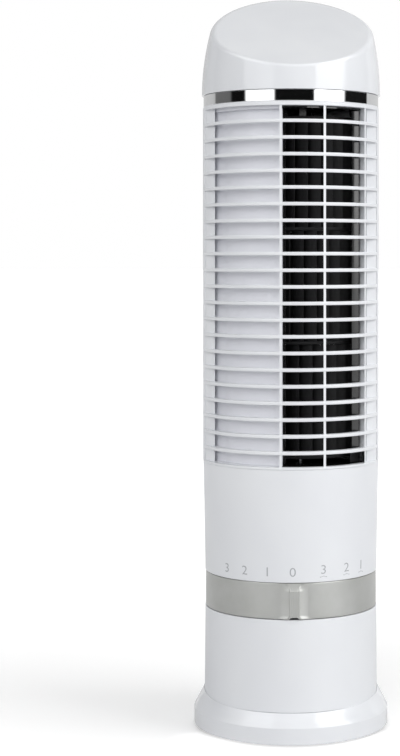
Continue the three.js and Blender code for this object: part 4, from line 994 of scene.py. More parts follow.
@dataclass
class ControlRing(Fitted):
    """The silver ring that is turned to choose a speed, with its ribbed pointer."""

    node: str = "control_ring"
    radius: float = 44.45
    wall: float = 1.55
    top_drop: float = 0.4
    inner_edge: float = 0.2
    edge: float = 0.4
    hold: float = 0.4
    sharp_angle: float = 24.0
    sides: int = 192
    pointer_azimuth: float = 2.2
    pointer_half: float = 2.2
    pointer_flare: float = 1.05
    pointer_proud: float = 1.75
    pointer_step: float = 0.4
    pointer_foot: float = 5.4
    pointer_gaps: tuple[float, float] = (0.15, 0.1)
    pointer_steps: int = 72
    flank: float = 0.3
    pointer_sunk: float = 0.8
    foot_sunk: float = 0.02
    end_slope: float = 2.0
    top_stretch: float = 1.4
    facet: float = 3.9
    facet_fall: float = 0.85
    facet_edge: float = 0.12
    facet_start: float = 0.5
    rib_count: int = 4
    rib_depth: float = 0.14
    arch_half: float = 2.5
    arch_height: float = 1.15
    arch_level: float = 0.15
    arch_dip: float = 0.12

    def build(self) -> None:
        """Make the ring and its pointer."""
        radii, levels = (self.radius, self.radius), (self.bottom, self.top - self.top_drop)
        edges = (self.inner_edge, self.edge, self.edge)
        outline = sleeve(self.radius - self.wall, radii, levels, edges, self.hold)
        band = Shape().turned(outline, self.sides).mesh("control_ring_band")
        ridge = self.pointer().mesh("control_ring_pointer", self.sharp_angle)
        for mesh in (band, ridge):
            piece = place(mesh, Body.RING, Finish.SILVER, [self.node])
            cut_away(piece, self.arch(), self.sharp_angle)

    def rise(self, across: float, waist: float) -> float:
        """Give how far the pointer stands out of the ring.

        Args:
            across: Distance from the pointer's middle line.
            waist: Half the width of its flat top there.

        Returns:
            The height above the ring, from 0 to pointer_proud.
        """
        beyond = abs(across) - waist
        if beyond <= 0:
            ribs = math.cos(2 * math.pi * self.rib_count * across / (2 * waist))
            return self.pointer_proud - self.rib_depth * (0.5 - 0.5 * ribs)
        if beyond < self.flank:
            return self.pointer_proud - self.pointer_step * beyond / self.flank
        foot = self.pointer_foot - self.flank
        left = max(0.0, self.pointer_foot - beyond) / foot
        return (self.pointer_proud - self.pointer_step) * left**2

    def pointer(self) -> Shape:
        """Make the spool-shaped pointer that runs up the whole ring.

        Returns:
            The pointer's shape.
        """
        sections = []
        low = self.bottom + self.pointer_gaps[0]
        high = self.top - self.top_drop - self.pointer_gaps[1]
        fold = high - self.facet
        levels = steps_between(low, low + self.end_slope, 8)
        levels += [fold - self.facet_edge, fold, fold + self.facet_edge]
        levels += steps_between(fold + self.facet_start, high, 8)
        for z in levels:
            from_end = min(z - low, (high - z) / self.top_stretch)
            waist = self.pointer_half + self.pointer_flare * (1 - smooth(from_end / self.end_slope))
            share = 1.0 if z <= fold else 1 - self.facet_fall * (z - fold) / self.facet
            reach = waist + self.pointer_foot
            loop = []
            for across in steps_between(-reach, reach, self.pointer_steps):
                beyond = max(0.0, abs(across) - waist) / self.pointer_foot
                height = self.rise(across, waist) * (share + (1 - share) * beyond)
                radius = self.radius - self.foot_sunk + height
                loop.append(polar(radius, self.pointer_azimuth + math.degrees(across / radius), z))
            back = self.radius - self.pointer_sunk
            for across in (reach, -reach):
                loop.append(polar(back, self.pointer_azimuth + math.degrees(across / back), z))
            sections.append(loop)
        return Shape().loft(sections)

    def arch(self) -> Shape:
        """Make the tool that cuts the dark arch under the pointer's lower end.

        Returns:
            The tool's shape.
        """
        under = self.bottom - TOOL_OVERLAP
        outline = [(self.arch_half, under), (-self.arch_half, under)]
        for t in steps_between(-1, 1, 14):
            height = self.arch_height * (1 - t**4) - self.arch_dip * (1 - t * t) ** 2
            outline.append((self.arch_half * t, self.bottom + self.arch_level + height))
        reach = (self.radius - self.wall - TOOL_OVERLAP, self.radius + TOOL_REACH)
        loops = [[(x, -r, z) for x, z in outline] for r in reach]
        return Shape().loft(loops).moved(Matrix.Rotation(math.radians(self.pointer_azimuth), 4, "Z"))


# ------------------------------------------------------------------------------ upper body


@dataclass
class UpperBody(Fitted):
    """The plain body above the ring, with the printed scale of speeds."""

    node: str = "body_shell"
    bottom_radius: float = 44.7
    top_radius: float = 45.8
    wall: float = 2.0
    edge: float = 0.2
    hold: float = 0.5
    ring_side_drop: float = 0.5
    sides: int = 192
    digit_height: float = 4.4
    digit_level: float = 2.6
    swing_digit_rise: float = 0.95
    digit_widening: float = 1.12
    stroke_thinning: float = 0.006
    letter_weld: float = 0.00001
    ink_proud: float = 0.03
    ink_sunk: float = 0.05
    scale: tuple[tuple[str, float], ...] = (
        ("3", -46.2),
        ("2", -31.3),
        ("1", -15.3),
        ("0", 1.2),
        ("3", 21.4),
        ("2", 38.8),
        ("1", 52.6),
    )
    swing_from: int = 4
    swing_level: float = 2.0
    swing_reach: float = 1.2
    swing_rise: float = 0.4
    swing_stroke: float = 0.12
    swing_dot: float = 0.26
    swing_dot_gap: float = 0.45

    def build(self) -> None:
        """Make the body's sleeve, its numbers and the swing marks under the right-hand ones."""
        outline = sleeve(
            self.bottom_radius - self.wall,
            (self.bottom_radius, self.top_radius),
            (self.bottom - self.ring_side_drop, self.top),
            (self.edge, self.edge, self.edge),
            self.hold,
        )
        mesh = Shape().turned(outline, self.sides).mesh("body_sleeve")
        place(mesh, Body.TOWER, Finish.SATIN_WHITE, [self.node])
        for i, (digit, azimuth) in enumerate(self.scale):
            swing = i >= self.swing_from
            self.digit(digit, azimuth, f"scale_number_{i + 1}", self.swing_digit_rise if swing else 0.0)
            if swing:
                self.swing_mark(azimuth, f"swing_mark_{i + 1 - self.swing_from}")

    def wrapped(self, across: float, up: float, depth: float, azimuth: float) -> Point:
        """Lay a flat point of the print onto the body's round face.

        Args:
            across: How far right of the sign's middle it is.
            up: Height above the body's lower edge.
            depth: How far it stands out of the face.
            azimuth: Where the sign's middle is.

        Returns:
            The point.
        """
        share = up / (self.top - self.bottom)
        radius = self.bottom_radius + (self.top_radius - self.bottom_radius) * share
        return polar(radius + depth, azimuth + math.degrees(across / radius), self.bottom + up)

    def digit(self, text: str, azimuth: float, name: str, rise: float) -> None:
        """Print one number of the scale.

        Args:
            text: The number.
            azimuth: Where it stands.
            name: Name of the piece.
            rise: How much higher than the others it stands.
        """
        curve = bpy.data.curves.new(name, "FONT")
        curve.body = text
        curve.offset = -self.stroke_thinning
        curve.extrude = 0.5  # Only tells front from back, since the real depth is set below.
        curve.resolution_u = 6
        letter = added(name, curve)
        mesh = evaluated(letter)
        bpy.data.objects.remove(letter)
        xs = [v.co.x for v in mesh.vertices]
        ys = [v.co.y for v in mesh.vertices]
        middle = (min(xs) + max(xs)) / 2
        size = self.digit_height / (max(ys) - min(ys))
        work = bmesh.new()
        work.from_mesh(mesh)
        bmesh.ops.remove_doubles(work, verts=work.verts, dist=self.letter_weld)
        for vertex in work.verts:
            across = (vertex.co.x - middle) * size * self.digit_widening
            up = self.digit_level + rise + (vertex.co.y - min(ys)) * size
            depth = self.ink_proud if vertex.co.z > 0 else -self.ink_sunk
            vertex.co = Vector(self.wrapped(across, up, depth, azimuth)) * MM
        bmesh.ops.recalc_face_normals(work, faces=work.faces)
        work.to_mesh(mesh)
        work.free()
        mesh.name = name
        place(mesh, Body.TOWER, Finish.INK)

    def swing_mark(self, azimuth: float, name: str) -> None:
        """Print a small arc with a dot at each end, the sign for swinging.

        Args:
            azimuth: Where it stands.
            name: Name of the piece.
        """
        level, stroke, dot = self.swing_level, self.swing_stroke, self.swing_dot
        spans = steps_between(-1, 1, 10)
        arc = [(self.swing_reach * t, level + self.swing_rise * (1 - t * t)) for t in spans]
        upper = [(x, z + stroke) for x, z in arc]
        lower = [(x, z - stroke) for x, z in reversed(arc)]
        rims = [upper + lower]
        turns = [math.tau * i / 12 for i in range(12)]
        for side in (-1, 1):
            middle = side * (self.swing_reach + self.swing_dot_gap)
            rims.append([(middle + dot * math.cos(a), level + dot * math.sin(a)) for a in turns])
        shape = Shape()
        depths = (-self.ink_sunk, self.ink_proud)
        for rim in rims:
            shape.loft([[self.wrapped(x, z, depth, azimuth) for x, z in rim] for depth in depths])
        place(shape.mesh(name), Body.TOWER, Finish.INK)


# ------------------------------------------------------------------------------ grille


@dataclass
class Grille(Fitted):
    """The louvred front, with its upright ribs, its side posts and its top and bottom rails."""

    node: str = "front_grille"
    radius: float = 46.0
    depth: float = 3.6
    count: int = 21
    pitch: float = 8.305
    thickness: float = 1.84
    back_thickness: float = 1.3
    first: float = 7.98
    half_angle: float = 76.5
    nose: float = 0.45
    back_round: float = 0.2
    bottom_rail: float = 1.0
    top_rail: float = 1.9
    rail_overlap: float = 0.2
    rail_rounds: tuple[float, float, float] = (0.12, 0.3, 0.1)
    rail_hold: float = 0.2
    rib_azimuths: tuple[float, ...] = (-6.4, 21.8, 56.0)
    rib_width: float = 1.28
    rib_recess: float = 0.25
    rib_stop: float = 0.6
    rib_round: float = 0.25
    post_from: tuple[float, float] = (38.95, 38.66)
    post_sunk: float = 2.6
    post_flush: float = 0.5
    post_stop: float = 0.2
    post_round: float = 0.2
    upright_gap: float = 0.1
    fin: Outline = field(
        default_factory=lambda: [(37.3, -24.5), (38.3, -24.5), (38.3, -20.0), (35.0, -20.6)]
    )
    fin_drop: float = 1.0
    fin_edge: float = 0.1
    sharp_angle: float = 30.0
    steps: int = 96

    @property
    def inner(self) -> float:
        """Give the radius of the louvres' backs."""
        return self.radius - self.depth

    def build(self) -> None:
        """Make the louvres and the frame that holds them."""
        for name, shape in (("grille_louvres", self.louvres()), ("grille_frame", self.surround())):
            mesh = shape.mesh(name, self.sharp_angle)
            place(mesh, Body.TOWER, Finish.GRILLE_WHITE, [self.node])

    def louvres(self) -> Shape:
        """Make the row of louvres, each a curved blade that thins towards the back.

        Returns:
            The louvres' shape.
        """
        shape = Shape()
        front, back = self.thickness / 2, self.back_thickness / 2
        for i in range(self.count):
            middle = self.bottom + self.first + i * self.pitch
            corners = [
                (self.inner, middle + front - 2 * back, self.back_round),
                (self.radius, middle - front, self.nose),
                (self.radius, middle + front, self.nose),
                (self.inner, middle + front, self.back_round),
            ]
            shape.swept(rounded(corners, 3), -self.half_angle, self.half_angle, self.steps)
        return shape

    def surround(self) -> Shape:
        """Make the rails, the ribs, the posts and the fin behind the right-hand rib.

        Returns:
            The frame's shape.
        """
        shape = Shape()
        radii, (outside, inside, hidden) = (self.radius, self.radius), self.rail_rounds
        lower = (self.bottom - self.rail_overlap, self.bottom + self.bottom_rail)
        upper = (self.top - self.top_rail, self.top + self.rail_overlap)
        for levels, rounds in ((lower, (hidden, outside, inside)), (upper, (hidden, inside, outside))):
            outline = sleeve(self.inner, radii, levels, rounds, self.rail_hold, 3)
            shape.swept(outline, -self.half_angle, self.half_angle, self.steps)
        front, back = self.radius - self.rib_recess, self.inner + self.rib_stop
        for azimuth in self.rib_azimuths:
            middle = front * math.sin(math.radians(azimuth))
            half = self.rib_width / 2 * math.cos(math.radians(azimuth))
            fronts, backs = (
                [(self.azimuth_of(x, radius), radius) for x in (middle - half, middle + half)]
                for radius in (front, back)
            )
            self.upright(shape, fronts, backs, self.rib_round)
        near, far = self.radius - self.post_sunk, self.radius - self.post_flush
        back = self.inner + self.post_stop
        for side, start in zip((-1, 1), self.post_from):
            fronts = [(side * self.azimuth_of(start, near), near), (side * self.half_angle, far)]
            backs = [(side * self.azimuth_of(start, back), back), (side * self.half_angle, back)]
            self.upright(shape, fronts, backs, self.post_round)
        return shape.prism(self.fin, self.bottom + self.first, self.top - self.fin_drop, self.fin_edge)

    def azimuth_of(self, x: float, radius: float) -> float:
        """Give the azimuth where a circle reaches an X."""
        return math.degrees(math.asin(x / radius))

    def upright(
        self, shape: Shape, front: list[tuple[float, float]], back: list[tuple[float, float]], edge: float
    ) -> None:
        """Add an upright bar, whose flanks run straight back where the mould draws them out.

        Args:
            shape: The shape it is added to.
            front: Azimuth and radius of its front at each flank.
            back: Azimuth and radius of its back at each flank.
            edge: Radius of its front edges.
        """
        faces = []
        for (start, first), (stop, last) in (front, back):
            turns = zip(steps_between(first, last, 10), steps_between(start, stop, 10))
            faces.append([polar(radius, azimuth)[:2] for radius, azimuth in turns])
        face, rear = faces[0], faces[1][::-1]
        corners = [(*point, edge if i in (0, len(face) - 1) else 0.0) for i, point in enumerate(face)]
        outline = rounded(corners + [(*point, 0.0) for point in rear], 3)
        shape.prism(outline, self.bottom + self.upright_gap, self.top - self.upright_gap)


# ------------------------------------------------------------------------------ rear housing


@dataclass
class RearHousing(Fitted):
    """The back half of the tower, with three rows of upright air slots and four screws."""

    node: str = "rear_housing"
    radius: float = 46.0
    wall: float = 2.0
    start: float = 77.1
    columns: int = 21
    open_columns: int = 15
    rows: int = 3
    margin: float = 15.0
    bar: float = 5.0
    slot_width: float = 4.6
    edge: float = 0.4
    round_steps: int = 8
    pocket_radius: float = 3.0
    pocket_sides: int = 32
    pocket_depth: float = 6.0
    boss_radius: float = 4.6
    boss_bore: float = 1.5
    boss_height: float = 3.6
    boss_gap: float = 0.3
    land: float = 1.0
    sharp_angle: float = 30.0
    bevel_angle: float = 40.0

    def build(self) -> None:
        """Make the slotted shell and its screws."""
        mesh = self.shell().mesh("rear_shell", self.sharp_angle)
        shell = place(mesh, Body.TOWER, Finish.SATIN_WHITE, [self.node])
        self.thicken(shell)
        screws = [box_mm(f"rear_screw_{i}") for i in range(1, 5)]
        pockets = Shape()
        turns = [math.tau * i / self.pocket_sides for i in range(self.pocket_sides)]
        circle = [(self.pocket_radius * math.sin(a), self.pocket_radius * math.cos(a)) for a in turns]
        ends = (self.radius - self.wall - self.pocket_depth, self.radius + TOOL_REACH)
        for low, high in screws:
            spot = centre_of(low, high, (low.z + high.z) / 2)
            pockets.loft([[(spot.x + x, y, spot.z + z) for x, z in circle] for y in ends])
        cut_away(shell, pockets, self.sharp_angle)
        for i, (low, high) in enumerate(screws):
            self.screw(i + 1, low, high)

    def plain(self, shape: Shape, sides: tuple[float, float], levels: tuple[float, float]) -> None:
        """Add one patch of the shell's outer face.

        Args:
            shape: The shape it is added to.
            sides: Azimuths of its left and right edges.
            levels: Heights of its lower and upper edges.
        """
        start, count = len(shape.points), self.round_steps
        azimuths = steps_between(*sides, count)
        for z in levels:
            shape.points.extend(polar(self.radius, a, z) for a in azimuths)
        for here in range(start, start + count):
            shape.faces.append((here, here + 1, here + count + 2, here + count + 1))

    def slotted(self, shape: Shape, sides: tuple[float, float], levels: tuple[float, float]) -> None:
        """Add one patch of the shell's outer face, with a round-ended slot in it.

        Args:
            shape: The shape it is added to.
            sides: Azimuths of the patch's left and right edges.
            levels: Heights of the slot's ends.
        """
        (left, right), (low, high) = sides, levels
        count, radius = self.round_steps, self.slot_width / 2
        middle, half = (left + right) / 2, math.degrees(radius / self.radius)
        for end, way in ((low, 1), (high, -1)):
            centre, outside = end + way * radius, end - way * self.land
            arc = []
            for i in range(count + 1):
                angle = math.pi * i / count
                across = math.degrees(-radius * math.cos(angle) / self.radius)
                arc.append((middle + across, centre - way * radius * math.sin(angle)))
            edge = [(a, outside) for a in steps_between(left, right, count)]
            edge[0], edge[-1] = (left, centre), (right, centre)
            start = len(shape.points)
            corners = [(left, outside), (right, outside)]
            shape.points.extend(polar(self.radius, a, z) for a, z in arc + edge + corners)
            second = start + count + 1
            for i in range(count):
                shape.faces.append((start + i, start + i + 1, second + i + 1, second + i))
            third = second + count + 1
            shape.faces.append((second, second + 1, third))
            shape.faces.append((third - 2, third - 1, third + 1))
        for edges in ((left, middle - half), (middle + half, right)):
            start = len(shape.points)
            for z in (low + radius, high - radius):
                shape.points.extend(polar(self.radius, a, z) for a in edges)
            shape.faces.append((start, start + 1, start + 3, start + 2))

    def shell(self) -> Shape:
        """Make the shell's outer face, column by column.

        Returns:
            The face, without thickness.
        """
        shape = Shape()
        pitch = (360 - 2 * self.start) / self.columns
        closed = (self.columns - self.open_columns) // 2
        room = self.top - self.bottom - 2 * self.margin - self.bar * (self.rows - 1)
        height, radius = room / self.rows, self.slot_width / 2
        lows = [self.bottom + self.margin + row * (height + self.bar) for row in range(self.rows)]
        highs = [low + height for low in lows]
        undersides = [self.bottom, *(z + self.land for z in highs)]
        bars = list(zip(undersides, [*(z - self.land for z in lows), self.top]))
        for column in range(self.columns):
            left = self.start + column * pitch
            sides = (left, left + pitch)
            for bar in bars:
                self.plain(shape, sides, bar)
            for low, high in zip(lows, highs):
                if closed <= column < self.columns - closed:
                    self.slotted(shape, sides, (low, high))
                    continue
                levels = (low - self.land, low + radius, high - radius, high + self.land)
                for patch in zip(levels, levels[1:]):
                    self.plain(shape, sides, patch)
        return shape

    def thicken(self, shell: bpy.types.Object) -> None:
        """Give the shell its wall and soften the slots' edges.

        Args:
            shell: The shell's outer face.
        """
        face = shell.data.polygons[0]
        if face.normal.dot(face.center.xy.to_3d()) < 0:
            shell.data.flip_normals()
        solid = shell.modifiers.new("wall", "SOLIDIFY")
        solid.thickness = self.wall * MM
        solid.offset = -1.0
        bevel = shell.modifiers.new("edge", "BEVEL")
        bevel.width = self.edge * MM
        bevel.segments = 2
        bevel.limit_method = "ANGLE"
        bevel.angle_limit = math.radians(self.bevel_angle)
        apply_modifiers(shell)

    def screw(self, number: int, low: Vector, high: Vector) -> None:
        """Make one rear screw and the boss that it sits in.

        Args:
            number: Number of the screw.
            low: Lowest corner of its box.
            high: Highest corner of its box.
        """
        middle = centre_of(low, high, (low.z + high.z) / 2)
        inward = Matrix.Rotation(math.pi / 2, 4, "X")
        spot = Matrix.Translation((middle.x, high.y, middle.z))
        mesh = Screw().shape(high.y - low.y).moved(spot @ inward).mesh(f"rear_shell_screw_{number}")
        place(mesh, Body.TOWER, Finish.STEEL, [f"rear_screw_{number}"])
        seat = Matrix.Translation((middle.x, high.y - Screw.head_height - self.boss_gap, middle.z))
        radii, levels = (self.boss_radius, self.boss_radius), (0.0, self.boss_height)
        outline = sleeve(self.boss_bore, radii, levels, (0.0, 0.0, 0.0))
        boss = Shape().turned(outline, self.pocket_sides).moved(seat @ inward)
        mesh = boss.mesh(f"rear_shell_boss_{number}")
        place(mesh, Body.TOWER, Finish.SATIN_WHITE, [self.node])


# ------------------------------------------------------------------------------ duct and wheel


@dataclass
class Duct(Fitted):
    """The walls that guide the air: a white panel on the left, black walls round the wheel."""

    node: str = "duct_panel"
    radius: float = 41.79
    panel_inset: float = 2.6
    wall: float = 1.6
    panel_straight: float = -58.0
    panel_end: Outline = field(
        default_factory=lambda: [(-39.3, -13.1), (-39.3, -14.6), (-38.95, -15.2)]
    )
    panel_to: float = -6.2
    panel_steps: int = 64
    skirt: tuple[float, float] = (41.95, 42.3)
    skirt_from: float = -67.2
    skirt_height: float = 2.2
    skirt_step: float = 0.3
    skirt_steps: int = 48
    scroll_from: float = 56.0
    scroll_lip: Outline = field(
        default_factory=lambda: [
            (31.2, -23.5),
            (32.0, -23.33),
            (32.8, -23.12),
            (33.6, -22.88),
            (34.4, -22.62),
            (34.9, -22.45),
        ]
    )
    lip_rake: float = 0.3
    lip_edge: float = 0.15
    sill: Outline = field(
        default_factory=lambda: [(30.3, -23.6), (38.1, -17.6), (38.1, -16.7), (30.0, -22.9)]
    )
    scroll_to: float = 128.0
    scroll_near: float = 6.2
    scroll_far: float = 3.0
    scroll_steps: int = 48
    tongue_from: float = -44.0
    tongue_to: float = -12.0
    tongue_gap: float = 2.6
    tongue_steps: int = 24
    tongue_lip_angle: float = 3.0
    tongue_lip_width: float = 2.0
    tongue_lip_gap: float = 0.3
    edge: float = 0.3

    @property
    def inner(self) -> float:
        """Give the radius of the white panel's inner face."""
        return self.radius - self.panel_inset - self.wall

    def build(self) -> None:
        """Make the panel, the scroll wall and the tongue."""
        mesh = self.panel().mesh("air_guide_panel")
        place(mesh, Body.TOWER, Finish.GUIDE_WHITE, [self.node])
        mesh = self.scroll().mesh("scroll_guide")
        place(mesh, Body.TOWER, Finish.DUCT_BLACK, ["scroll_wall"])
        mesh = self.tongue().mesh("tongue_guide")
        place(mesh, Body.TOWER, Finish.DUCT_BLACK, ["vortex_tongue"])

    def panel(self) -> Shape:
        """Make the white panel, round at first and then straight to the grille's left post.

        Returns:
            The panel with the skirts that hide the duct's floor and ceiling.
        """
        inner = self.inner
        azimuths = steps_between(self.panel_straight, self.panel_to, self.panel_steps)
        outside = [polar(inner + self.wall, azimuth)[:2] for azimuth in azimuths]
        inside = [polar(inner, azimuth)[:2] for azimuth in reversed(azimuths)]
        shape = Shape().prism(outside + inside + self.panel_end, self.bottom, self.top)
        near, far = self.skirt
        for end, way in ((self.bottom, -1), (self.top, 1)):
            step, rim = end - way * self.skirt_step, end + way * self.skirt_height
            outline = [(inner, step), (far, step), (far, rim), (near, rim), (near, end), (inner, end)]
            shape.swept(outline, self.skirt_from, self.panel_to, self.skirt_steps)
        return shape

    def scroll(self) -> Shape:
        """Make the scroll wall, the lip in front of it and the sill under the lip.

        Returns:
            The shape of all three.
        """
        turns, gaps = (self.scroll_from, self.scroll_to), (self.scroll_near, self.scroll_far)
        wall = self.wheel_wall(turns, gaps, self.scroll_steps)
        rear = [(x - self.wall * self.lip_rake, y + self.wall) for x, y in reversed(self.scroll_lip)]
        lip_foot = box_mm("front_grille")[0].z + Grille.first
        shape = Shape().prism(wall, self.bottom, self.top, self.edge)
        shape.prism([*self.scroll_lip, *rear], lip_foot, self.top, self.lip_edge)
        return shape.prism(self.sill, self.bottom, lip_foot - self.edge, self.lip_edge)

    def about_wheel(self, radius: float, azimuth: float) -> tuple[float, float]:
        """Give the plan position at a radius and azimuth about the wheel's axis."""
        x, y = polar(radius, azimuth)[:2]
        return (x + Wheel.centre[0], y + Wheel.centre[1])

    def wheel_wall(self, turns: tuple[float, float], gaps: tuple[float, float], steps: int) -> Outline:
        """Outline a wall that follows the wheel.

        Args:
            turns: Azimuths of its first and last ends, about the wheel's axis.
            gaps: Its distances from the wheel at those ends.
            steps: Straight steps along it.

        Returns:
            The closed outline in plan.
        """
        inside: Outline = []
        outside: Outline = []
        for azimuth, gap in zip(steps_between(*turns, steps), steps_between(*gaps, steps)):
            inside.append(self.about_wheel(Wheel.radius + gap, azimuth))
            outside.append(self.about_wheel(Wheel.radius + gap + self.wall, azimuth))
        return outside + inside[::-1]

    def tongue(self) -> Shape:
        """Make the tongue that hugs the wheel and meets the white panel's edge.

        Returns:
            The tongue's shape.
        """
        gap = self.tongue_gap
        wall = self.wheel_wall((self.tongue_from, self.tongue_to), (gap, gap), self.tongue_steps)
        lip_radius = self.inner - self.tongue_lip_gap
        back = self.about_wheel(Wheel.radius + gap + self.wall, self.tongue_to)
        lip = [
            self.about_wheel(Wheel.radius + gap, self.tongue_to),
            polar(lip_radius, self.panel_to)[:2],
            polar(lip_radius, self.panel_to - self.tongue_lip_angle)[:2],
            (back[0] - self.tongue_lip_width, back[1]),
        ]
        return Shape().prism(wall, self.bottom, self.top, self.edge).prism(lip, self.bottom, self.top)


@dataclass
class Wheel:
    """The cross-flow wheel: three stacked drums of curved blades between thin discs."""

    drums: tuple[str, ...] = ("lower", "middle", "upper")
    radius: float = 30.99
    centre: tuple[float, float] = (4.5, 1.0)
    blades: int = 28
    blade_depth: float = 6.0
    blade_sweep: float = 12.0
    blade_curl: float = 1.35
    blade_steps: int = 8
    blade_thickness: float = 0.9
    blade_ends: float = 0.55
    blade_inset: float = 0.4
    disc: float = 1.6
    rim_edge: float = 0.4
    hub_radius: float = 6.3
    stub_radius: float = 1.9
    stub_sunk: float = 0.6
    stub_sides: int = 32
    ceiling_wall: float = 2.2
    ceiling_gap: float = 3.2
    sides: int = 96

    def blade(self) -> Outline:
        """Outline one curved blade, with its root on +X.

        Returns:
            The closed outline in plan.
        """
        tip_radius, last = self.radius - self.blade_inset, self.blade_steps
        spine = []
        for t in steps_between(0, 1, last):
            radius = tip_radius - self.blade_depth * (1 - t)
            angle = math.radians(self.blade_sweep) * t**self.blade_curl
            spine.append(Vector((radius * math.cos(angle), radius * math.sin(angle))))
        left: Outline = []
        right: Outline = []
        for i, point in enumerate(spine):
            along = spine[min(i + 1, last)] - spine[max(i - 1, 0)]
            side = Vector((along.y, -along.x)).normalized()
            half = self.blade_thickness / 2 * (self.blade_ends if i in (0, last) else 1.0)
            left.append(tuple(point + side * half))
            right.append(tuple(point - side * half))
        return left + right[::-1]

    def build(self) -> None:
        """Make the three drums, of which the lowest is open round the hub and the highest has a lid."""
        outline, shift = self.blade(), Matrix.Translation((*self.centre, 0))
        for number, drum in enumerate(self.drums):
            low, high = box_mm(f"impeller_{drum}")
            shape = Shape()
            self.plate(shape, low.z, self.hub_radius if number == 0 else 0.0)
            top = high.z
            if drum == self.drums[-1]:
                lid = self.lid_level(high.z)
                self.plate(shape, lid, 0.0)
                foot, radius = lid + self.disc - self.stub_sunk, self.stub_radius
                stub = [(0.0, foot), (radius, foot), (radius, high.z), (0.0, high.z)]
                shape.turned(stub, self.stub_sides, self.centre)
                top = lid + self.disc / 2
            for i in range(self.blades):
                turn = math.tau * (i + number / len(self.drums)) / self.blades
                spot = shift @ Matrix.Rotation(turn, 4, "Z")
                ends = (low.z + self.disc / 2, top)
                shape.loft([[tuple(spot @ Vector((x, y, z))) for x, y in outline] for z in ends])
            mesh = shape.mesh(f"wheel_drum_{drum}")
            place(mesh, Body.WHEEL, Finish.WHEEL_BLACK, [f"impeller_{drum}"])

    def lid_level(self, top: float) -> float:
        """Give the underside of the wheel's lid, from the top of its stub."""
        ceiling = box_mm("duct_ceiling")[1].z - self.ceiling_wall
        return min(ceiling - self.ceiling_gap, top) - self.disc

    def plate(self, shape: Shape, bottom: float, bore: float) -> None:
        """Add one disc of the wheel.

        Args:
            shape: The drum it is added to.
            bottom: Its underside.
            bore: Radius of the hole in its middle.
        """
        levels, edges = (bottom, bottom + self.disc), (0.0, self.rim_edge, self.rim_edge)
        outline = sleeve(bore, (self.radius, self.radius), levels, edges, 0.0, 3)
        shape.turned(outline, self.sides, self.centre)


# ------------------------------------------------------------------------------ band and cap


@dataclass
class Crown(Fitted):
    """The chrome band and the slanted cap above it."""

    node: str = "chrome_band"
    band_radius: float = 45.7
    band_wall: float = 2.0
    band_inner_edge: float = 0.1
    band_edge: float = 0.12
    band_hold: float = 0.15
    cap_radius: float = 46.6
    front_height: float = 12.0
    tilt: float = 28.6
    turn: float = 3.0
    bulge_radius: float = 180.0
    side_bulge: tuple[float, float] = (52.0, 30.0)
    edge: float = 3.6
    front_edge: float = 1.2
    back_edge: float = 5.9
    edge_steps: int = 12
    side_steps: int = 14
    side_hold: float = 0.3
    top_hold: float = 0.5
    lip: float = 0.25
    skirt_outer: float = 43.4
    skirt_inner: float = 41.4
    roof: float = 5.2
    gap: float = 0.18
    sharp_angle: float = 28.0
    sides: int = 256
    cap_bottom: float = field(init=False)
    skirt_bottom: float = field(init=False)

    def __post_init__(self) -> None:
        """Take the levels of the band and of the cap from the frame."""
        super().__post_init__()
        self.cap_bottom = self.top + self.gap
        self.skirt_bottom = box_mm("top_cap")[0].z

    def build(self) -> None:
        """Make the band and the cap."""
        radii, levels = (self.band_radius, self.band_radius), (self.bottom, self.top)
        edges = (self.band_inner_edge, self.band_edge, self.band_edge)
        outline = sleeve(self.band_radius - self.band_wall, radii, levels, edges, self.band_hold)
        mesh = Shape().turned(outline, self.sides).mesh("chrome_trim")
        place(mesh, Body.TOWER, Finish.CHROME, [self.node])
        sections = [[polar(r, a, z) for r, z in self.outline(a)] for a in around(self.sides)]
        mesh = Shape().loft(sections, ring=True).mesh("slanted_cap", self.sharp_angle)
        place(mesh, Body.TOWER, Finish.GLOSS_WHITE, ["top_cap"])

    def side(self, height: float, bulge: float) -> tuple[float, float]:
        """Give the radius and level of the bulged side at a height above the cap's lower edge."""
        return (self.cap_radius - height**2 / (2 * bulge), self.cap_bottom + height)

    def outline(self, azimuth: float) -> Outline:
        """Give the cap's section at one azimuth.

        Args:
            azimuth: Where the cap is cut.

        Returns:
            The closed outline of radius and height.
        """
        slope = math.tan(math.radians(self.tilt))
        front_radius = self.side(self.front_height, self.bulge_radius)[0]
        centre = self.cap_bottom + self.front_height + slope * front_radius
        rise = slope * math.cos(math.radians(azimuth - self.turn))
        facing = rise / slope
        end_edge = self.front_edge if facing > 0 else self.back_edge
        edge = self.edge + (end_edge - self.edge) * abs(facing)
        across = math.sin(math.radians(azimuth))
        bulge = self.bulge_radius - self.side_bulge[0 if across < 0 else 1] * across**2
        a = -rise / (2 * bulge)
        c = self.cap_bottom - centre + rise * self.cap_radius
        height = -2 * c / (1 + math.sqrt(1 - 4 * a * c))
        corner = Vector(self.side(height, bulge))
        low = Vector(self.side(height - edge, bulge))
        back = edge / math.hypot(1, rise)
        high = corner + Vector((-back, back * rise))
        flank = [self.side(s, bulge) for s in steps_between(0, height - edge, self.side_steps)[1:-1]]
        flank.append(self.side(height - edge - self.side_hold, bulge))
        arc = [(point.x, point.y) for point in bend(low, corner, high, self.edge_steps)]
        under = centre - self.roof / math.cos(math.radians(self.tilt))
        corners = [
            (self.skirt_inner, self.skirt_bottom, 0.0),
            (self.skirt_outer, self.skirt_bottom, 0.0),
            (self.skirt_outer, self.cap_bottom, 0.0),
            (self.cap_radius, self.cap_bottom, self.lip),
            *[(r, z, 0.0) for r, z in flank + arc],
            (high.x - self.top_hold, high.y + rise * self.top_hold, 0.0),
            (high.x / 2, centre - rise * high.x / 2, 0.0),
            (0.0, centre, 0.0),
            (0.0, under, 0.0),
            (self.skirt_inner, under - rise * self.skirt_inner, 0.0),
        ]
        return rounded(corners)


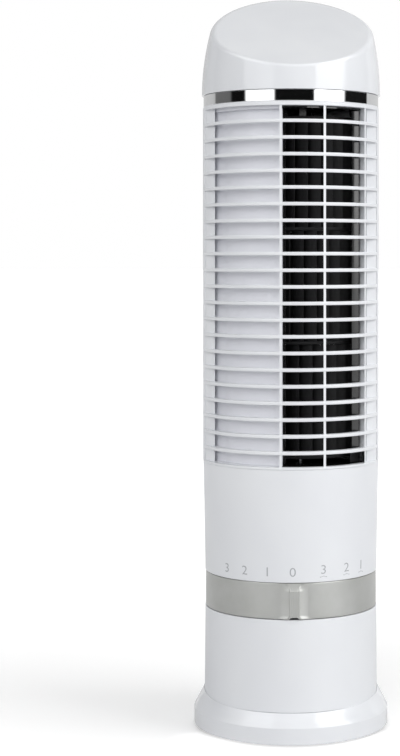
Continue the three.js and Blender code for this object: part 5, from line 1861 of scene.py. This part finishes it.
# ------------------------------------------------------------------------------ carried-over nodes


@dataclass(frozen=True)
class Hardware:
    """Finishes of the frame's own solids that stay as they are."""

    finishes: tuple[tuple[Finish, tuple[str, ...]], ...] = (
        (Finish.STRUCTURE_GREY, ("base_plate", "turntable", "inner_sleeve", "switch_plate")),
        (Finish.NATURAL, ("pivot_post", "thrust_washer", "switch_pinion", "oscillation_crank")),
        (Finish.WHEEL_BLACK, ("ring_carrier", "rotary_switch")),
        (Finish.DUCT_BLACK, ("duct_floor", "duct_ceiling")),
        (Finish.WIRE_JACKET, ("supply_lead", "motor_lead")),
        (Finish.RUBBER, ("impeller_hub",)),
        (Finish.BRONZE, ("wheel_bearing", "motor_bearing_upper", "motor_bearing_lower")),
        (Finish.LAMINATION, ("motor_stator", "motor_rotor")),
        (Finish.COPPER, ("motor_coil",)),
        (
            Finish.STEEL,
            (
                "retaining_ring",
                "oscillation_motor",
                "impeller_shaft",
                "motor_bracket_upper",
                "motor_bracket_lower",
                *(f"turntable_screw_{i}" for i in (1, 2, 3)),
                *(f"oscillation_motor_screw_{i}" for i in (1, 2)),
                *(f"motor_screw_{i}" for i in (1, 2)),
            ),
        ),
    )

    def build(self) -> None:
        """Put each node's finish into its material slots."""
        for finish, names in self.finishes:
            for name in names:
                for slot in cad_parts[name].material_slots:
                    slot.material = finish.material()
                log.info("node %s: %s", name, finish.value.name)


# ------------------------------------------------------------------------------ studio


@dataclass(frozen=True)
class Softbox:
    """A soft light that looks down at the fan. Shiny faces see the surroundings instead of it."""

    name: str
    azimuth: float
    elevation: float
    distance: float
    width: float
    height: float
    power: float
    aim_height: float = 0.2

    def build(self) -> None:
        """Make the light, which looks at the fan's middle."""
        light = bpy.data.lights.new(self.name, "AREA")
        light.shape = "RECTANGLE"
        light.size = self.width
        light.size_y = self.height
        light.energy = self.power
        lamp = added(self.name, light)
        lamp.visible_glossy = False
        rise = math.radians(self.elevation)
        away = Vector(polar(math.cos(rise), self.azimuth, math.sin(rise))) * self.distance
        lamp.location = Vector((0, 0, self.aim_height)) + away
        lamp.rotation_euler = (-away).to_track_quat("-Z", "Y").to_euler()


@dataclass
class Studio:
    """The camera, the lights, the surroundings and the pale floor. Its distances are in metres."""

    camera_distance: float = 0.921
    camera_height: float = 0.2442
    lens: float = 83.67
    shift: tuple[float, float] = (-0.1202, -0.1614)
    floor_size: float = 60.0
    # The floor's glow, seen only by the camera and shiny faces, is painted light: it rises with distance,
    # and a patch of it just in front of the foot paints out the contact shadow there. The camera also sees a
    # paler floor tone than the light that bounces off it.
    floor_lift: tuple[float, float] = (0.31, 0.8)
    floor_reach: tuple[float, float] = (0.07, 0.9)
    front_painted_glow: float = 0.7
    front_reach: tuple[float, float] = (-0.034, -0.002)
    front_round: tuple[float, float] = (0.054, 0.085)
    floor_lit: tuple[str, str] = ("B6B6B6", "BABABB")
    floor_seen: tuple[str, str] = ("F0F0F0", "F3F3F3")
    floor_cloud: float = 300.0
    floor_roughness: float = 0.7
    lean: float = 0.33
    overhead: float = 0.1
    overhead_rise: tuple[float, float] = (0.3, 0.9)
    overhead_shine: float = 1.4
    shine_rise: tuple[float, float] = (0.3, 0.6)
    shine_front: tuple[float, float] = (0.0, 0.3)
    softboxes: tuple[Softbox, ...] = (
        Softbox("left_softbox", -22.0, 22.0, 1.5, 1.0, 1.0, 8.0),
        Softbox("right_softbox", 65.0, 30.0, 1.5, 1.0, 1.0, 10.8),
    )
    # Round the fan, by azimuth: what shiny faces see, and the soft light on everything else.
    surroundings: tuple[tuple[float, float, float], ...] = (
        (-180.0, 0.68, 1.0),
        (-118.0, 0.55, 0.7),
        (-114.0, 0.16, 0.62),
        (-85.0, 0.14, 0.8),
        (-81.0, 0.005, 0.82),
        (-61.0, 0.005, 0.9),
        (-58.0, 1.75, 0.9),
        (-22.0, 1.75, 0.9),
        (-19.5, 0.005, 0.9),
        (29.0, 0.005, 1.0),
        (32.0, 3.4, 1.05),
        (67.0, 3.4, 1.08),
        (74.0, 0.01, 1.08),
        (116.0, 0.01, 0.96),
        (118.0, 0.68, 0.94),
        (180.0, 0.68, 1.0),
    )

    def build(self) -> None:
        """Make the whole studio."""
        self.camera()
        for softbox in self.softboxes:
            softbox.build()
        self.world()
        self.floor()
        bpy.context.scene.view_settings.view_transform = "Standard"

    def camera(self) -> None:
        """Set the camera in front of the grille, level and looking along +Y."""
        data = bpy.data.cameras.new("view")
        data.lens = self.lens
        data.shift_x, data.shift_y = self.shift
        data.dof.use_dof = False
        camera = added("view", data)
        camera.location = (0, -self.camera_distance, self.camera_height)
        camera.rotation_euler = (math.pi / 2, 0, 0)
        bpy.context.scene.camera = camera

    def band_of(self, nodes: Nodes, turn: bpy.types.NodeSocket, column: int) -> bpy.types.NodeSocket:
        """Turn one column of the surroundings into a band round the fan.

        Args:
            nodes: The world's nodes.
            turn: The azimuth, from 0 to 1 all the way round.
            column: The column: 1 for what shiny faces see, 2 for the soft light.

        Returns:
            The band's colour.
        """
        ramp = nodes.add("ValToRGB", Fac=turn)
        elements = ramp.color_ramp.elements
        for row in self.surroundings[1:-1]:
            elements.new((row[0] + 180) / 360)
        for element, row in zip(elements, self.surroundings):
            element.position, element.color = (row[0] + 180) / 360, grey(row[column])
        return ramp.outputs["Color"]

    def world(self) -> None:
        """Make the surroundings: plain white behind, even light, and what shiny faces see."""
        world = bpy.data.worlds.new("studio")
        bpy.context.scene.world = world
        world.use_nodes = True
        world.node_tree.nodes.clear()
        nodes = Nodes(world.node_tree)
        rays = nodes.add("LightPath").outputs
        direction = nodes.add("SeparateXYZ", Vector=nodes.add("TexCoord").outputs["Generated"]).outputs
        toward = nodes.maths("SUBTRACT", nodes.maths("MULTIPLY", direction["Z"], self.lean), direction["Y"])
        azimuth = nodes.maths("ARCTAN2", direction["X"], toward)
        turn = nodes.spread(azimuth, (-math.pi, math.pi))
        overhead = nodes.spread(direction["Z"], self.overhead_rise)
        soft = nodes.mix(overhead, self.band_of(nodes, turn, 2), grey(self.overhead))
        above = nodes.spread(direction["Z"], self.shine_rise, (0.0, self.overhead_shine))
        canopy = nodes.mix(nodes.spread(toward, self.shine_front), grey(0.0), above)
        shiny = nodes.mix(1.0, self.band_of(nodes, turn, 1), canopy, "ADD")
        indirect = nodes.mix(rays["Is Glossy Ray"], soft, shiny)
        straight = nodes.maths("MAXIMUM", rays["Is Camera Ray"], rays["Is Transmission Ray"])
        background = nodes.add("Background", Color=nodes.mix(straight, indirect, grey(1.0)))
        nodes.add("OutputWorld", Surface=background.outputs["Background"])

    def floor(self) -> None:
        """Lay a pale floor that keeps the fan's shadow, with a painted glow that makes it read white to the
        camera and to shiny faces.
        """
        half = self.floor_size / 2 / MM
        shape = Shape()
        shape.points = [(-half, -half, 0.0), (half, -half, 0.0), (half, half, 0.0), (-half, half, 0.0)]
        shape.faces = [(0, 1, 2, 3)]
        floor = added("floor", shape.mesh("floor"))
        surface = Surface("pale_floor")
        rays = surface.add("LightPath").outputs
        length = surface.add("VectorMath", Vector=surface.position)
        length.operation = "LENGTH"
        away = length.outputs["Value"]
        depth = surface.add("SeparateXYZ", Vector=surface.position).outputs["Y"]
        # Painted light: extra glow in a patch just in front of the foot, which paints out the contact shadow
        # there.
        front = surface.spread(depth, self.front_reach, (self.front_painted_glow, 0.0))
        close = surface.spread(away, self.front_round, (1.0, 0.0))
        far = surface.spread(away, self.floor_reach, self.floor_lift)
        lift = surface.maths("MAXIMUM", far, surface.maths("MULTIPLY", front, close))
        seen = surface.maths("MAXIMUM", rays["Is Camera Ray"], rays["Is Glossy Ray"])
        cloud = surface.noise(self.floor_cloud, 2.0)
        tones = [surface.tones(cloud, *pair) for pair in (self.floor_lit, self.floor_seen)]
        material = surface.finished(
            Base_Color=surface.mix(rays["Is Camera Ray"], *tones),
            Roughness=self.floor_roughness,
            Emission_Color=grey(1.0),
            Emission_Strength=surface.maths("MULTIPLY", lift, seen),
        )
        floor.data.materials.append(material)


def main() -> None:
    """Build the studio and every sub-assembly, in order."""
    body = (Foot, Column, ControlRing, UpperBody, Grille, RearHousing, Duct, Wheel, Crown)
    for kind in (Studio, *body, Hardware):
        log.info("building %s", kind.__name__)
        kind().build()


if __name__ == "__main__":
    main()
